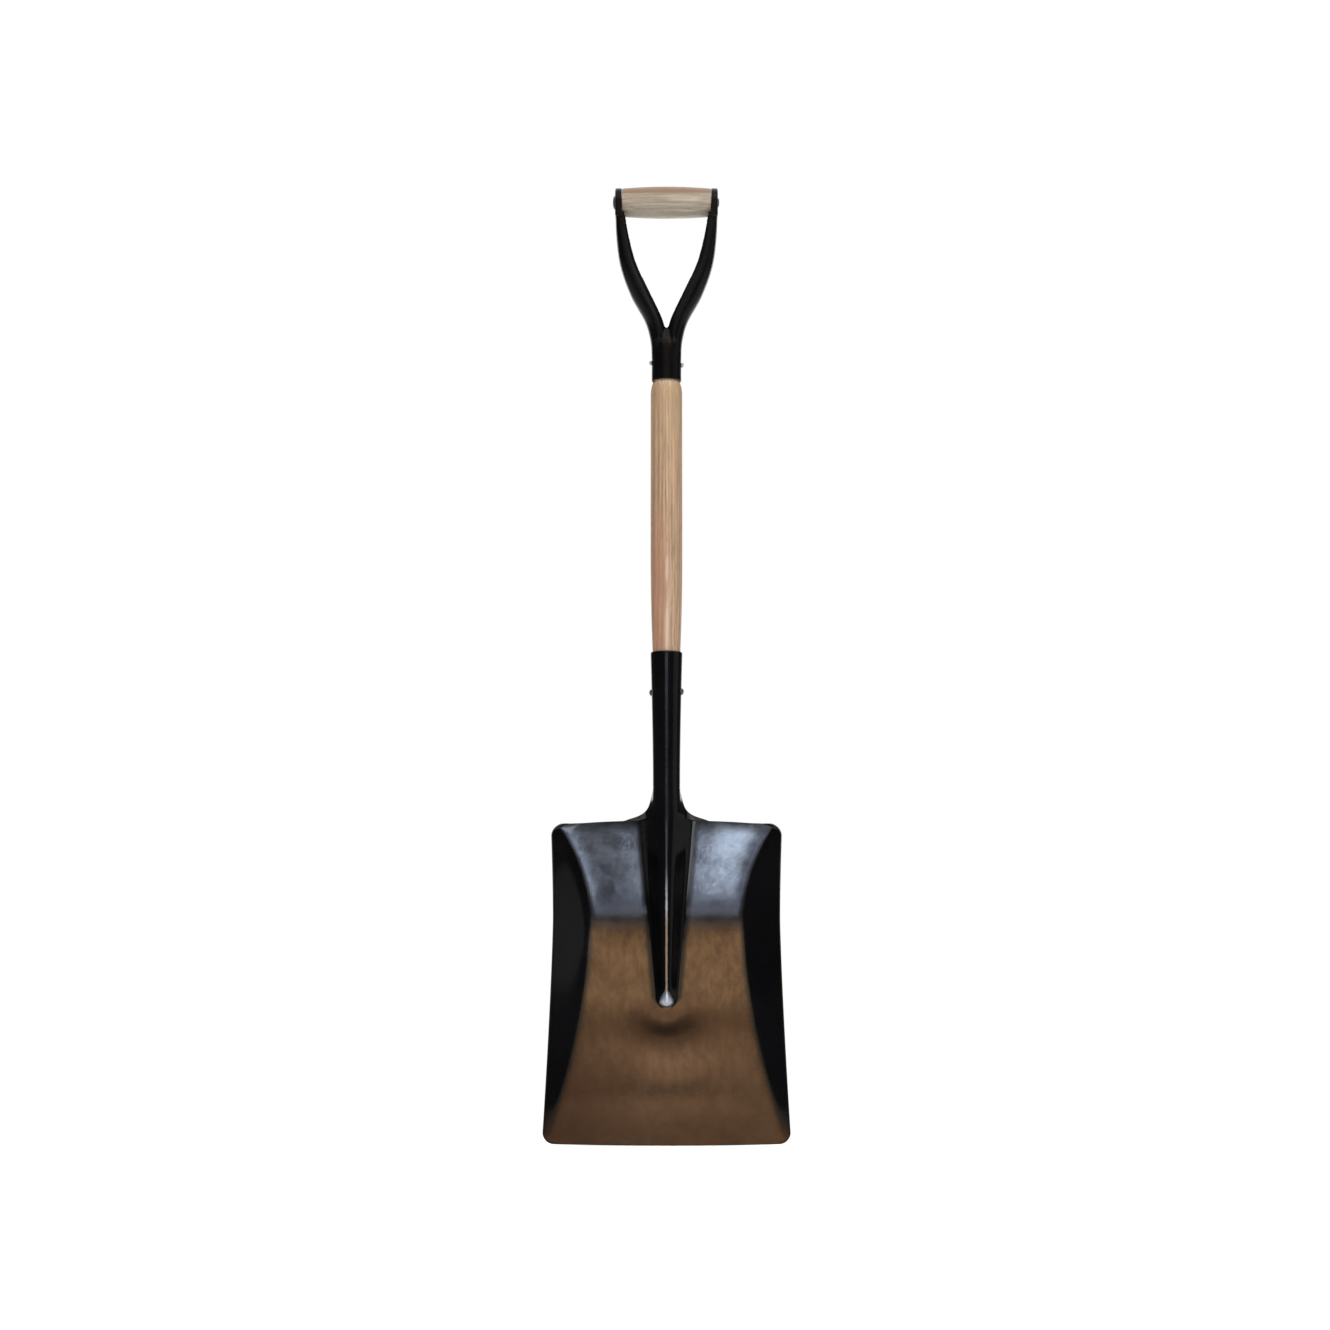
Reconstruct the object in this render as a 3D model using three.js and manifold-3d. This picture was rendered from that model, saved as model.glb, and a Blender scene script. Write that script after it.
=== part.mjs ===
// Square-mouth shovel with a pressed steel head, an ash shaft and a steel
// D-handle whose turned grip spins on a through rivet.
// Millimetres, +Z up, the blade tip down, the hollow of the blade facing -Y.
import * as THREE from 'three';
import { mergeVertices } from 'three/addons/utils/BufferGeometryUtils.js';
import Module from 'manifold-3d';

const wasm = await Module();
wasm.setup();

// ---------------------------------------------------------------- driving dimensions
const GAP = 0.3; // running gap between neighbouring pieces

// pressed head: blade, hollow rib and rolled socket are one sheet
const SHEET = 1.8;
const BLADE_TOP = 339; // height of the blade's top edge beside the neck
const TIP_Y = -65; // how far the cutting edge comes forward of the shaft axis
const PAN_TOP_Y = 2; // pan behind the shaft axis at the top edge
const EDGE_TOP_Y = -1; // side edges at the top edge
const CREASE_Z = 235; // height where the pan is deepest and the sides stand tallest
const CREASE_Y = 6.5;
const CREASE_BLEND = 8;
const HALF_WIDTH_TIP = 127;
const HALF_WIDTH_WAIST = 118.4;
const HALF_WIDTH_TOP = 121.8;
const CORNER_RADIUS = 12;
const TIP_BOW = 1.5; // rise of the cutting edge at the corners
const TOP_BOW = 5; // drop of the top edge at the corners
const PAN_CROWN = 1.5; // each half of the upper pan is pressed back this much between rib and side
const FOLD_WAIST = 82; // half-width of the flat pan where it is narrowest
const FOLD_TOP = 115;
const FOLD_TIP = 122;
const FOLD_SOFTNESS = 0.22;
const FOLD_INSET = 6; // the fold stays at least this far inside the side edge

// hollow rib that carries the socket's front down into the pan
const RIB_END_Z = 143;
const RIB_NOSE = 14;
const RIB_HALF_WIDTH = 12.8; // at the nose
const RIB_FLARE = 0.0934; // gain of half-width per millimetre of height
const RIB_LEAN = 0.0755; // the crest leans forward on its way down
const LEAN_START_Z = 345;
const LEAN_BLEND = 40; // the lean comes in gradually over about this height
const RIB_ROUNDNESS = 0.75;
const NOSE_POWER = 3; // above 2 the nose is blunter than an ellipse
const CREST_SHARE = 0.55; // share of the rounding that belongs to the crest

// neck and socket
const NECK_TOP = 372; // the shoulder fillets end here
const SEAM_TOP = 432; // above this the rolled edges meet at the back
const SOCKET_TOP = 517.6;
const SOCKET_OD_NECK = 29;
const SOCKET_OD_MOUTH = 34.2;
const SOCKET_STRAIGHT = 382;
const NECK_FILLET_X = 31;
const SEAM_HALF_ANGLE = THREE.MathUtils.degToRad(1.2);

// shaft
const SHAFT_OD = 34;
const SHAFT_FOOT_Z = 398;
const SHAFT_HEAD_Z = 850;
const TENON_FIT = 0.55; // radial clearance in both sockets
const SWELL_TOP_Z = 640; // the shaft swells to its full diameter up to here
const SWELL_POWER = 2.4;
const SHOULDER = 16; // height of the rounded shoulder under the yoke
const SHOULDER_POWER = 2.6;
const SHOULDER_LIP = 0.4; // the shoulder ends this much prouder than the tenon
const SHAFT_CHAMFER = 2;

// handle yoke
const YOKE_RIM_Z = 812.6;
const YOKE_OD = 32;
const YOKE_SHEET = 1.6;
const DOME_FOOT_Z = 848; // the tube closes in a dome from here
const DOME_TOP_Z = 875;
const EAR_OUTER_X = 55.7;
const EAR_RIM_X = 48.3;
const EAR_RADIUS = 15.6;
const EAR_BEVEL = 1.5;
const EAR_DROP = 17; // the ear plate ends this far below the rod, inside the arm
const DISH_DROP = 18; // the hollow behind the ear ends this far below the rod
const DISH_REACH = 6; // how far the hollow is cut past the ear's rim
const ARM_HALF_DEPTH = 15.4;
const ARM_ROOT_DEPTH = 12.2; // the arms start inside the tube's wall
const SLOT_HALF = 7.5; // half-width of the slot along the inside of each arm
const SLOT_REACH = 12; // how far the slot is cut past the inner face

// grip
const GRIP_Z = 1012.4;
const GRIP_RADIUS = 17.3;
const GRIP_END_RADIUS = 15.2;
const GRIP_HALF = EAR_RIM_X - 2 * GAP;
const GRIP_EDGE = 1.4; // rounding of the grip's ends
const ROD_RADIUS = 4;
const BORE_RADIUS = 4.6;

// rivets
const SMALL_SHANK = 2.2;
const CROSS_HOLE_HALF = 30; // half-length of the cutter for a small rivet's hole
const ROD_HOLE_HALF = 70; // half-length of the cutter for the grip rivet's holes
const YOKE_RIVET_Z = 832.4;
const YOKE_RIVET_SKEW = THREE.MathUtils.degToRad(4.2);
const SOCKET_RIVET_Z = 475.3;
const SOCKET_RIVET_TURN = THREE.MathUtils.degToRad(-15);

// ---------------------------------------------------------------- materials
const lacquer = new THREE.MeshStandardMaterial({ color: 0x17181b, roughness: 0.32, metalness: 0.4 });
const ash = new THREE.MeshStandardMaterial({ color: 0xc4a687, roughness: 0.55, metalness: 0 });
const paleAsh = new THREE.MeshStandardMaterial({ color: 0xd0bd9d, roughness: 0.5, metalness: 0 });
const zinc = new THREE.MeshStandardMaterial({ color: 0x8b8d90, roughness: 0.4, metalness: 0.9 });
const darkRivet = new THREE.MeshStandardMaterial({ color: 0x3a3a3d, roughness: 0.4, metalness: 0.7 });

// ---------------------------------------------------------------- solids and meshes
function toSolid(geometry) {
  const bare = geometry.clone();
  bare.deleteAttribute('normal');
  bare.deleteAttribute('uv');
  const merged = mergeVertices(bare, 1e-3);
  const mesh = new wasm.Mesh({
    numProp: 3,
    vertProperties: new Float32Array(merged.attributes.position.array),
    triVerts: new Uint32Array(merged.index.array),
  });
  return new wasm.Manifold(mesh);
}

function toGeometry(solid) {
  const mesh = solid.getMesh();
  const geometry = new THREE.BufferGeometry();
  geometry.setAttribute('position', new THREE.BufferAttribute(new Float32Array(mesh.vertProperties), 3));
  geometry.setIndex(new THREE.BufferAttribute(new Uint32Array(mesh.triVerts), 1));
  geometry.computeVertexNormals();
  return geometry;
}

function named(name, geometry, material) {
  const mesh = new THREE.Mesh(geometry, material);
  mesh.name = name;
  return mesh;
}

// Closed skin over rings of equal length, with a fan over each end.
function loft(rings) {
  const positions = [];
  const index = [];
  const count = rings[0].length;
  for (const ring of rings) {
    for (const point of ring) positions.push(point.x, point.y, point.z);
  }
  for (let j = 0; j + 1 < rings.length; j += 1) {
    for (let i = 0; i < count; i += 1) {
      const a = j * count + i;
      const b = j * count + ((i + 1) % count);
      index.push(a, b, b + count, a, b + count, a + count);
    }
  }
  for (const [row, flip] of [[0, true], [rings.length - 1, false]]) {
    const centre = new THREE.Vector3();
    for (const point of rings[row]) centre.add(point);
    centre.divideScalar(count);
    const hub = positions.length / 3;
    positions.push(centre.x, centre.y, centre.z);
    for (let i = 0; i < count; i += 1) {
      const a = row * count + i;
      const b = row * count + ((i + 1) % count);
      if (flip) index.push(hub, b, a);
      else index.push(hub, a, b);
    }
  }
  const geometry = new THREE.BufferGeometry();
  geometry.setAttribute('position', new THREE.Float32BufferAttribute(positions, 3));
  geometry.setIndex(index);
  return geometry;
}

// Solid of revolution about X, from points given as (along X, radius).
function latheX(profile, segments) {
  const points = profile.map(([along, radius]) => new THREE.Vector2(radius, along));
  const geometry = new THREE.LatheGeometry(points, segments);
  geometry.rotateZ(-Math.PI / 2);
  return geometry;
}

function latheZ(profile, segments) {
  const points = profile.map(([radius, height]) => new THREE.Vector2(radius, height));
  const geometry = new THREE.LatheGeometry(points, segments);
  geometry.rotateX(Math.PI / 2);
  return geometry;
}

function mix(a, b, t) {
  return a + (b - a) * t;
}

// ---------------------------------------------------------------- pressed head
function panY(z) {
  const lower = TIP_Y + ((CREASE_Y - TIP_Y) * z) / CREASE_Z;
  const upper = mix(PAN_TOP_Y, CREASE_Y, (BLADE_TOP - z) / (BLADE_TOP - CREASE_Z));
  const apart = lower - upper;
  return (lower + upper - Math.sqrt(apart * apart + CREASE_BLEND * CREASE_BLEND)) / 2;
}

function edgeY(z) {
  return mix(TIP_Y, EDGE_TOP_Y, z / BLADE_TOP);
}

function sideX(z) {
  const below = Math.max(0, (CREASE_Z - z) / CREASE_Z);
  const above = Math.max(0, (z - CREASE_Z) / (BLADE_TOP - CREASE_Z));
  const straight = HALF_WIDTH_WAIST
    + (HALF_WIDTH_TIP - HALF_WIDTH_WAIST) * below ** 1.4
    + (HALF_WIDTH_TOP - HALF_WIDTH_WAIST) * above ** 1.4;
  const reach = Math.max(0, CORNER_RADIUS - Math.min(z, BLADE_TOP - z));
  return straight - (CORNER_RADIUS - Math.sqrt(CORNER_RADIUS ** 2 - reach ** 2));
}

function foldX(z) {
  const below = Math.max(0, (CREASE_Z - z) / CREASE_Z);
  const above = Math.max(0, (z - CREASE_Z) / (BLADE_TOP - CREASE_Z));
  const line = FOLD_WAIST
    + (FOLD_TIP - FOLD_WAIST) * below ** 2
    + (FOLD_TOP - FOLD_WAIST) * above ** 2;
  return Math.min(line, sideX(z) - FOLD_INSET);
}

// The side wing rises from the pan along a softened ramp.
function wingRise(x, z) {
  const ramp = (x - foldX(z)) / (sideX(z) - foldX(z));
  const soft = (ramp + Math.sqrt(ramp * ramp + FOLD_SOFTNESS ** 2)) / 2;
  const full = (1 + Math.sqrt(1 + FOLD_SOFTNESS ** 2)) / 2;
  return ((panY(z) - edgeY(z)) * soft) / full;
}

function socketRadius(z) {
  const up = Math.max(0, (z - SOCKET_STRAIGHT) / (SOCKET_TOP - SOCKET_STRAIGHT));
  return (SOCKET_OD_NECK + (SOCKET_OD_MOUTH - SOCKET_OD_NECK) * up ** 1.5 - SHEET) / 2;
}

function crestY(z) {
  const below = Math.max(0, LEAN_START_Z - z);
  return -socketRadius(z) - RIB_LEAN * (Math.sqrt(below ** 2 + LEAN_BLEND ** 2) - LEAN_BLEND);
}

// Half of the rib's section: crest arc, straight flank, reversed arc into the pan.
function ribSection(z) {
  const noseTop = RIB_END_Z + RIB_NOSE;
  const below = Math.min(1, Math.max(0, (noseTop - z) / RIB_NOSE));
  const fade = (1 - below ** NOSE_POWER) ** (1 / NOSE_POWER);
  const base = RIB_HALF_WIDTH + RIB_FLARE * Math.max(0, z - noseTop);
  const height = (panY(z) - crestY(z)) * fade;
  const width = base * fade;
  if (height < 0.05) return { crest: 1, foot: 1, angle: 0, flank: 0, base };
  const rounding = (RIB_ROUNDNESS * (width ** 2 + height ** 2)) / (2 * height);
  let low = 0;
  let high = Math.asin(Math.min(1, width / rounding));
  for (let i = 0; i < 40; i += 1) {
    const angle = (low + high) / 2;
    const rise = (width - rounding * Math.sin(angle)) * Math.tan(angle)
      + rounding * (1 - Math.cos(angle));
    if (rise > height) high = angle;
    else low = angle;
  }
  const flank = (width - rounding * Math.sin(low)) / Math.cos(low);
  return { crest: rounding * CREST_SHARE, foot: rounding * (1 - CREST_SHARE), angle: low, flank, base };
}

// Point at arc length s from the crest, x outwards and y backwards.
function sectionPoint(section, s) {
  const { crest, foot, angle, flank } = section;
  const arc = crest * angle;
  if (s <= arc) return [crest * Math.sin(s / crest), crest * (1 - Math.cos(s / crest))];
  const along = Math.min(s - arc, flank);
  const x = crest * Math.sin(angle) + along * Math.cos(angle);
  const y = crest * (1 - Math.cos(angle)) + along * Math.sin(angle);
  const turned = Math.min((s - arc - along) / foot, angle);
  const rest = s - arc - along - turned * foot;
  return [
    x + foot * (Math.sin(angle) - Math.sin(angle - turned)) + rest,
    y + foot * (Math.cos(angle - turned) - Math.cos(angle)),
  ];
}

function sectionLength(section) {
  return section.angle * (section.crest + section.foot) + section.flank;
}

// Half-width of the sheet where the shoulders sweep into the neck.
function shoulderX(z) {
  const down = (NECK_TOP - z) / (NECK_TOP - BLADE_TOP);
  return socketRadius(z) + (NECK_FILLET_X * (down + 3 * down ** 6)) / 4;
}

// Neck and socket: the flanks roll back until their edges meet in the seam.
function neckSection(z) {
  const blade = ribSection(BLADE_TOP);
  const t = Math.min(1, (z - BLADE_TOP) / (NECK_TOP - BLADE_TOP));
  const roll = THREE.MathUtils.smoothstep(z, NECK_TOP - 20, SEAM_TOP);
  const open = mix(blade.angle, Math.PI / 2, t);
  return {
    crest: mix(blade.crest, socketRadius(z), t),
    foot: mix(blade.foot, 8, t),
    angle: mix(open, Math.PI - SEAM_HALF_ANGLE, roll),
    flank: mix(blade.flank, 0, t),
  };
}

function neckLength(section, z) {
  const wanted = shoulderX(z);
  const start = section.crest * section.angle + section.flank;
  if (z >= NECK_TOP) return start;
  let low = start;
  let high = start + 60;
  for (let i = 0; i < 40; i += 1) {
    const middle = (low + high) / 2;
    if (sectionPoint(section, middle)[0] > wanted) high = middle;
    else low = middle;
  }
  return low;
}

const RIB_COLUMNS = 7;
const NECK_COLUMNS = 9;
const PAN_COLUMNS = 2;
const WING_COLUMNS = 5;
const COLUMNS = NECK_COLUMNS + PAN_COLUMNS + WING_COLUMNS;

// How far the upper pan is pressed back between the shoulder and the side edge.
function panCrown(x, z) {
  const shoulder = shoulderX(BLADE_TOP);
  const across = Math.max(0, (x - shoulder) / (sideX(z) - shoulder));
  const upper = THREE.MathUtils.smoothstep(z, CREASE_Z - 30, CREASE_Z + 20);
  return PAN_CROWN * upper * Math.sin(Math.PI * across) ** 2;
}

// Column positions of one blade row on the +X side, from the crest to the side edge.
function bladeRow(z) {
  const section = ribSection(z);
  const shoulder = shoulderX(BLADE_TOP);
  const [foot] = sectionPoint(section, sectionLength(section));
  const ribLength = sectionLength(section) + section.base - foot;
  const side = sideX(z);
  const fold = foldX(z);
  const wingStart = Math.max(mix(shoulder, fold, 0.85), fold - 12);
  const points = [];
  for (let i = 0; i <= COLUMNS; i += 1) {
    let x = 0;
    let y = panY(z);
    if (i <= RIB_COLUMNS) {
      const [across, back] = sectionPoint(section, (ribLength * i) / RIB_COLUMNS);
      const height = sectionPoint(section, ribLength)[1];
      x = across;
      y = panY(z) - height + back;
    } else if (i <= NECK_COLUMNS) {
      x = mix(section.base, shoulder, (i - RIB_COLUMNS) / (NECK_COLUMNS - RIB_COLUMNS));
    } else if (i <= NECK_COLUMNS + PAN_COLUMNS) {
      x = mix(shoulder, wingStart, (i - NECK_COLUMNS) / PAN_COLUMNS);
    } else {
      x = mix(wingStart, side, (i - NECK_COLUMNS - PAN_COLUMNS) / WING_COLUMNS);
    }
    const across = x / sideX(CREASE_Z);
    const bow = across * across * mix(TIP_BOW, -TOP_BOW, z / BLADE_TOP);
    points.push(new THREE.Vector3(x, y + panCrown(x, z) - wingRise(x, z), z + bow));
  }
  return points;
}

function neckRow(z) {
  const section = neckSection(z);
  const length = neckLength(section, z);
  const foot = bladeRow(BLADE_TOP);
  const blade = ribSection(BLADE_TOP);
  const whole = sectionLength(blade) + shoulderX(BLADE_TOP) - blade.base;
  const even = Math.min(1, (z - BLADE_TOP) / (NECK_TOP - BLADE_TOP));
  const points = [];
  for (let i = 0; i <= NECK_COLUMNS; i += 1) {
    const past = Math.max(0, i - RIB_COLUMNS) / (NECK_COLUMNS - RIB_COLUMNS);
    const rib = (sectionLength(blade) * Math.min(i, RIB_COLUMNS)) / RIB_COLUMNS;
    const share = (rib + past * (shoulderX(BLADE_TOP) - blade.base)) / whole;
    const [x, y] = sectionPoint(section, length * mix(share, i / NECK_COLUMNS, even));
    points.push(new THREE.Vector3(x, crestY(z) + y, z));
  }
  points[0].y = mix(foot[0].y, points[0].y, Math.min(1, even * 4));
  return points;
}

const CORNER_ROWS = 4;
const TIP_ROWS = 6;
const RIB_ROWS = 10;
const NOSE_ROWS = [-2, 1, 5, 10, 16]; // heights of the rows around the rib's end, measured from it
const NECK_ROWS = 12;
const NECK_CROWDING = 1.6; // the neck's rows crowd together where it leaves the blade
const SOCKET_ROWS = 3;

function headRows() {
  const corner = [];
  for (let i = 0; i <= CORNER_ROWS; i += 1) {
    corner.push(CORNER_RADIUS * (1 - Math.cos((Math.PI / 2) * (i / CORNER_ROWS))));
  }
  const heights = [...corner];
  const nose = NOSE_ROWS.map((rise) => RIB_END_Z + rise);
  for (let i = 1; i < TIP_ROWS; i += 1) heights.push(mix(CORNER_RADIUS, nose[0], i / TIP_ROWS));
  heights.push(...nose);
  const ribTop = BLADE_TOP - CORNER_RADIUS;
  for (let i = 1; i < RIB_ROWS; i += 1) heights.push(mix(nose.at(-1), ribTop, i / RIB_ROWS));
  for (const z of corner.reverse()) heights.push(BLADE_TOP - z);
  const rows = heights.map(bladeRow);
  for (let i = 1; i <= NECK_ROWS; i += 1) {
    rows.push(neckRow(mix(BLADE_TOP, SEAM_TOP, (i / NECK_ROWS) ** NECK_CROWDING)));
  }
  for (let i = 1; i <= SOCKET_ROWS; i += 1) {
    rows.push(neckRow(mix(SEAM_TOP, SOCKET_TOP, i / SOCKET_ROWS)));
  }
  return rows;
}

// Both halves of every row, then a skin of the sheet's thickness on either side.
function thickenedSheet(rows, thickness) {
  const middle = [];
  const grid = rows.map((row) => {
    const line = new Map();
    row.forEach((point, i) => {
      line.set(i, middle.push(point) - 1);
      if (i > 0) line.set(-i, middle.push(new THREE.Vector3(-point.x, point.y, point.z)) - 1);
    });
    return line;
  });
  const triangles = [];
  for (let j = 0; j + 1 < rows.length; j += 1) {
    const reach = Math.min(rows[j].length, rows[j + 1].length) - 1;
    for (let i = -reach; i < reach; i += 1) {
      const a = grid[j].get(i);
      const b = grid[j].get(i + 1);
      const c = grid[j + 1].get(i + 1);
      const d = grid[j + 1].get(i);
      if (i >= 0) triangles.push([a, b, c], [a, c, d]);
      else triangles.push([a, b, d], [b, c, d]);
    }
  }
  const normals = middle.map(() => new THREE.Vector3());
  for (const [a, b, c] of triangles) {
    const ab = middle[b].clone().sub(middle[a]);
    const ac = middle[c].clone().sub(middle[a]);
    const normal = ab.cross(ac);
    for (const corner of [a, b, c]) normals[corner].add(normal);
  }
  const positions = [];
  for (const side of [0.5, -0.5]) {
    middle.forEach((point, i) => {
      const place = point.clone().addScaledVector(normals[i].normalize(), side * thickness);
      positions.push(place.x, place.y, place.z);
    });
  }
  const index = [];
  const rim = new Map();
  const count = middle.length;
  for (const [a, b, c] of triangles) {
    index.push(a, b, c, a + count, c + count, b + count);
    for (const [p, q] of [[a, b], [b, c], [c, a]]) {
      if (rim.has(`${q},${p}`)) rim.delete(`${q},${p}`);
      else rim.set(`${p},${q}`, [p, q]);
    }
  }
  for (const [p, q] of rim.values()) {
    index.push(q, p, p + count, q, p + count, q + count);
  }
  const geometry = new THREE.BufferGeometry();
  geometry.setAttribute('position', new THREE.Float32BufferAttribute(positions, 3));
  geometry.setIndex(index);
  return geometry;
}

// ---------------------------------------------------------------- rivets
function rod(radius, halfLength, segments = 16) {
  return latheX([[-halfLength, 0], [-halfLength, radius], [halfLength, radius], [halfLength, 0]], segments);
}

// A shank with a domed head at each end; seat is where each head's flat starts.
function rivet(shank, seat, leftHead, rightHead) {
  const dome = (head) => [
    [0, head.radius],
    [head.height * 0.45, head.radius * 0.93],
    [head.height * 0.85, head.radius * 0.55],
    [head.height, 0],
  ];
  const left = dome(leftHead).map(([out, radius]) => [-seat - out, radius]).reverse();
  const right = dome(rightHead).map(([out, radius]) => [seat + out, radius]);
  return latheX([...left, [-seat, shank], [seat, shank], ...right], 20);
}

function placeYokeRivet(geometry) {
  return geometry.rotateY(YOKE_RIVET_SKEW).translate(0, 0, YOKE_RIVET_Z);
}

function placeSocketRivet(geometry) {
  return geometry.rotateZ(SOCKET_RIVET_TURN).translate(0, 0, SOCKET_RIVET_Z);
}

function placeGripRivet(geometry) {
  return geometry.translate(0, 0, GRIP_Z);
}

// ---------------------------------------------------------------- shaft
function shaftGeometry() {
  const fit = (z) => socketRadius(z) - SHEET / 2 - TENON_FIT;
  const tenon = YOKE_OD / 2 - YOKE_SHEET - TENON_FIT;
  const full = SHAFT_OD / 2;
  const profile = [[0, SHAFT_FOOT_Z], [fit(SHAFT_FOOT_Z) - SHAFT_CHAMFER, SHAFT_FOOT_Z]];
  const socketSteps = 3;
  for (let i = 0; i <= socketSteps; i += 1) {
    const z = mix(SHAFT_FOOT_Z + SHAFT_CHAMFER, SOCKET_TOP, i / socketSteps);
    profile.push([fit(z), z]);
  }
  const swellSteps = 5;
  for (let i = 1; i <= swellSteps; i += 1) {
    const t = i / swellSteps;
    const radius = mix(fit(SOCKET_TOP), full, 1 - (1 - t) ** SWELL_POWER);
    profile.push([radius, mix(SOCKET_TOP, SWELL_TOP_Z, t)]);
  }
  const shoulderSteps = 3;
  for (let i = 0; i <= shoulderSteps; i += 1) {
    const t = i / shoulderSteps;
    const radius = mix(full, tenon + SHOULDER_LIP, t ** SHOULDER_POWER);
    profile.push([radius, mix(YOKE_RIM_Z - SHOULDER, YOKE_RIM_Z - 2 * GAP, t)]);
  }
  profile.push(
    [tenon, YOKE_RIM_Z],
    [tenon, SHAFT_HEAD_Z - SHAFT_CHAMFER],
    [tenon - SHAFT_CHAMFER, SHAFT_HEAD_Z],
    [0, SHAFT_HEAD_Z],
  );
  const cross = rod(SMALL_SHANK + GAP, CROSS_HOLE_HALF);
  return toGeometry(
    toSolid(latheZ(profile, 28))
      .subtract(toSolid(placeYokeRivet(cross.clone())))
      .subtract(toSolid(placeSocketRivet(cross.clone()))),
  );
}

// ---------------------------------------------------------------- handle yoke
// Oval ring between an outer and an inner point of the arm, half-depth along Y.
function ovalRing(outer, inner, halfDepth, square, count) {
  const ring = [];
  const power = (value) => Math.sign(value) * Math.abs(value) ** square;
  for (let i = 0; i < count; i += 1) {
    const angle = (2 * Math.PI * i) / count;
    const t = (1 + power(Math.cos(angle))) / 2;
    ring.push(new THREE.Vector3(
      mix(inner.x, outer.x, t),
      halfDepth * power(Math.sin(angle)),
      mix(inner.y, outer.y, t),
    ));
  }
  return ring;
}

const ARM_STEPS = 13;
const ARM_RING = 16;
const armOuter = new THREE.CatmullRomCurve3([
  [16, 838], [16.9, 855], [22.2, 877], [38.2, 907.5], [50, 941], [54.4, 973], [55.6, 1003],
].map(([x, z]) => new THREE.Vector3(x, z, 0)), false, 'centripetal');
const armInner = new THREE.CatmullRomCurve3([
  [-2, 848], [-1.2, 864], [1.6, 877], [15.3, 908], [31.2, 942], [39.6, 974], [43.4, 998],
].map(([x, z]) => new THREE.Vector3(x, z, 0)), false, 'centripetal');

function armLoft(shrink, openUp) {
  const rings = [];
  for (let i = 0; i <= ARM_STEPS; i += 1) {
    const t = i / ARM_STEPS;
    const outer = armOuter.getPoint(t);
    const inner = armInner.getPoint(t);
    const along = outer.clone().sub(inner).normalize();
    outer.addScaledVector(along, -shrink);
    inner.addScaledVector(along, shrink);
    const depth = mix(ARM_ROOT_DEPTH, ARM_HALF_DEPTH, Math.min(1, t * 6)) - shrink;
    const square = mix(1, 0.55, t * t);
    if (openUp) inner.addScaledVector(along, -SLOT_REACH);
    const halfDepth = openUp ? mix(Math.min(depth, SLOT_HALF), depth, t ** 3) : depth;
    rings.push(ovalRing(outer, inner, halfDepth, square, ARM_RING));
  }
  return loft(rings);
}

// The ear is a shallow dish around the rod: a round-topped plate from inner to outer X.
function earPlate(radius, drop, innerX, outerX, bevel) {
  const outline = new THREE.Shape();
  const size = radius - bevel;
  outline.moveTo(size, -drop);
  outline.lineTo(size, 0);
  outline.absarc(0, 0, size, 0, Math.PI);
  outline.lineTo(-size, -drop);
  outline.closePath();
  const plate = new THREE.ExtrudeGeometry(outline, {
    depth: outerX - innerX - bevel,
    steps: 1,
    curveSegments: 12,
    bevelEnabled: bevel > 0,
    bevelThickness: bevel,
    bevelSize: bevel,
    bevelSegments: 2,
  });
  plate.rotateX(Math.PI / 2);
  plate.rotateZ(Math.PI / 2);
  return plate.translate(innerX, 0, GRIP_Z);
}

function mirrored(solid) {
  return solid.add(solid.mirror([1, 0, 0]));
}

// Quarter-ellipse profile from the wall at foot up to the axis at top.
function domeProfile(radius, foot, top, steps) {
  const profile = [[radius, foot]];
  for (let i = 1; i < steps; i += 1) {
    const angle = (Math.PI / 2) * (i / steps);
    profile.push([radius * Math.cos(angle), mix(foot, top, Math.sin(angle))]);
  }
  profile.push([0, top]);
  return profile;
}

function yokeGeometry() {
  const half = YOKE_OD / 2;
  const bore = half - YOKE_SHEET;
  const boreFoot = YOKE_RIM_Z - YOKE_SHEET;
  const tube = toSolid(latheZ([
    [0, YOKE_RIM_Z], [half, YOKE_RIM_Z], ...domeProfile(half, DOME_FOOT_Z, DOME_TOP_Z, 6),
  ], 24));
  const tubeBore = toSolid(latheZ([
    [0, boreFoot], [bore, boreFoot],
    ...domeProfile(bore, DOME_FOOT_Z + YOKE_SHEET, DOME_TOP_Z - YOKE_SHEET, 6),
  ], 24));
  const arms = mirrored(toSolid(armLoft(0, false)));
  const hollow = mirrored(toSolid(armLoft(YOKE_SHEET, false)));
  const slot = mirrored(toSolid(armLoft(YOKE_SHEET, true)));
  const ear = toSolid(earPlate(EAR_RADIUS, EAR_DROP, EAR_RIM_X, EAR_OUTER_X, EAR_BEVEL));
  const ears = mirrored(ear.trimByPlane([1, 0, 0], EAR_RIM_X));
  const dish = mirrored(
    toSolid(earPlate(
      EAR_RADIUS - YOKE_SHEET, DISH_DROP, EAR_RIM_X - DISH_REACH, EAR_OUTER_X - YOKE_SHEET, 0,
    )),
  );
  const rodHole = toSolid(placeGripRivet(rod(ROD_RADIUS + GAP, ROD_HOLE_HALF)));
  const rivetHole = toSolid(placeYokeRivet(rod(SMALL_SHANK + GAP, CROSS_HOLE_HALF)));
  return toGeometry(
    tube.add(arms).add(ears)
      .subtract(tubeBore).subtract(hollow).subtract(slot).subtract(dish)
      .subtract(rodHole).subtract(rivetHole),
  );
}

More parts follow.
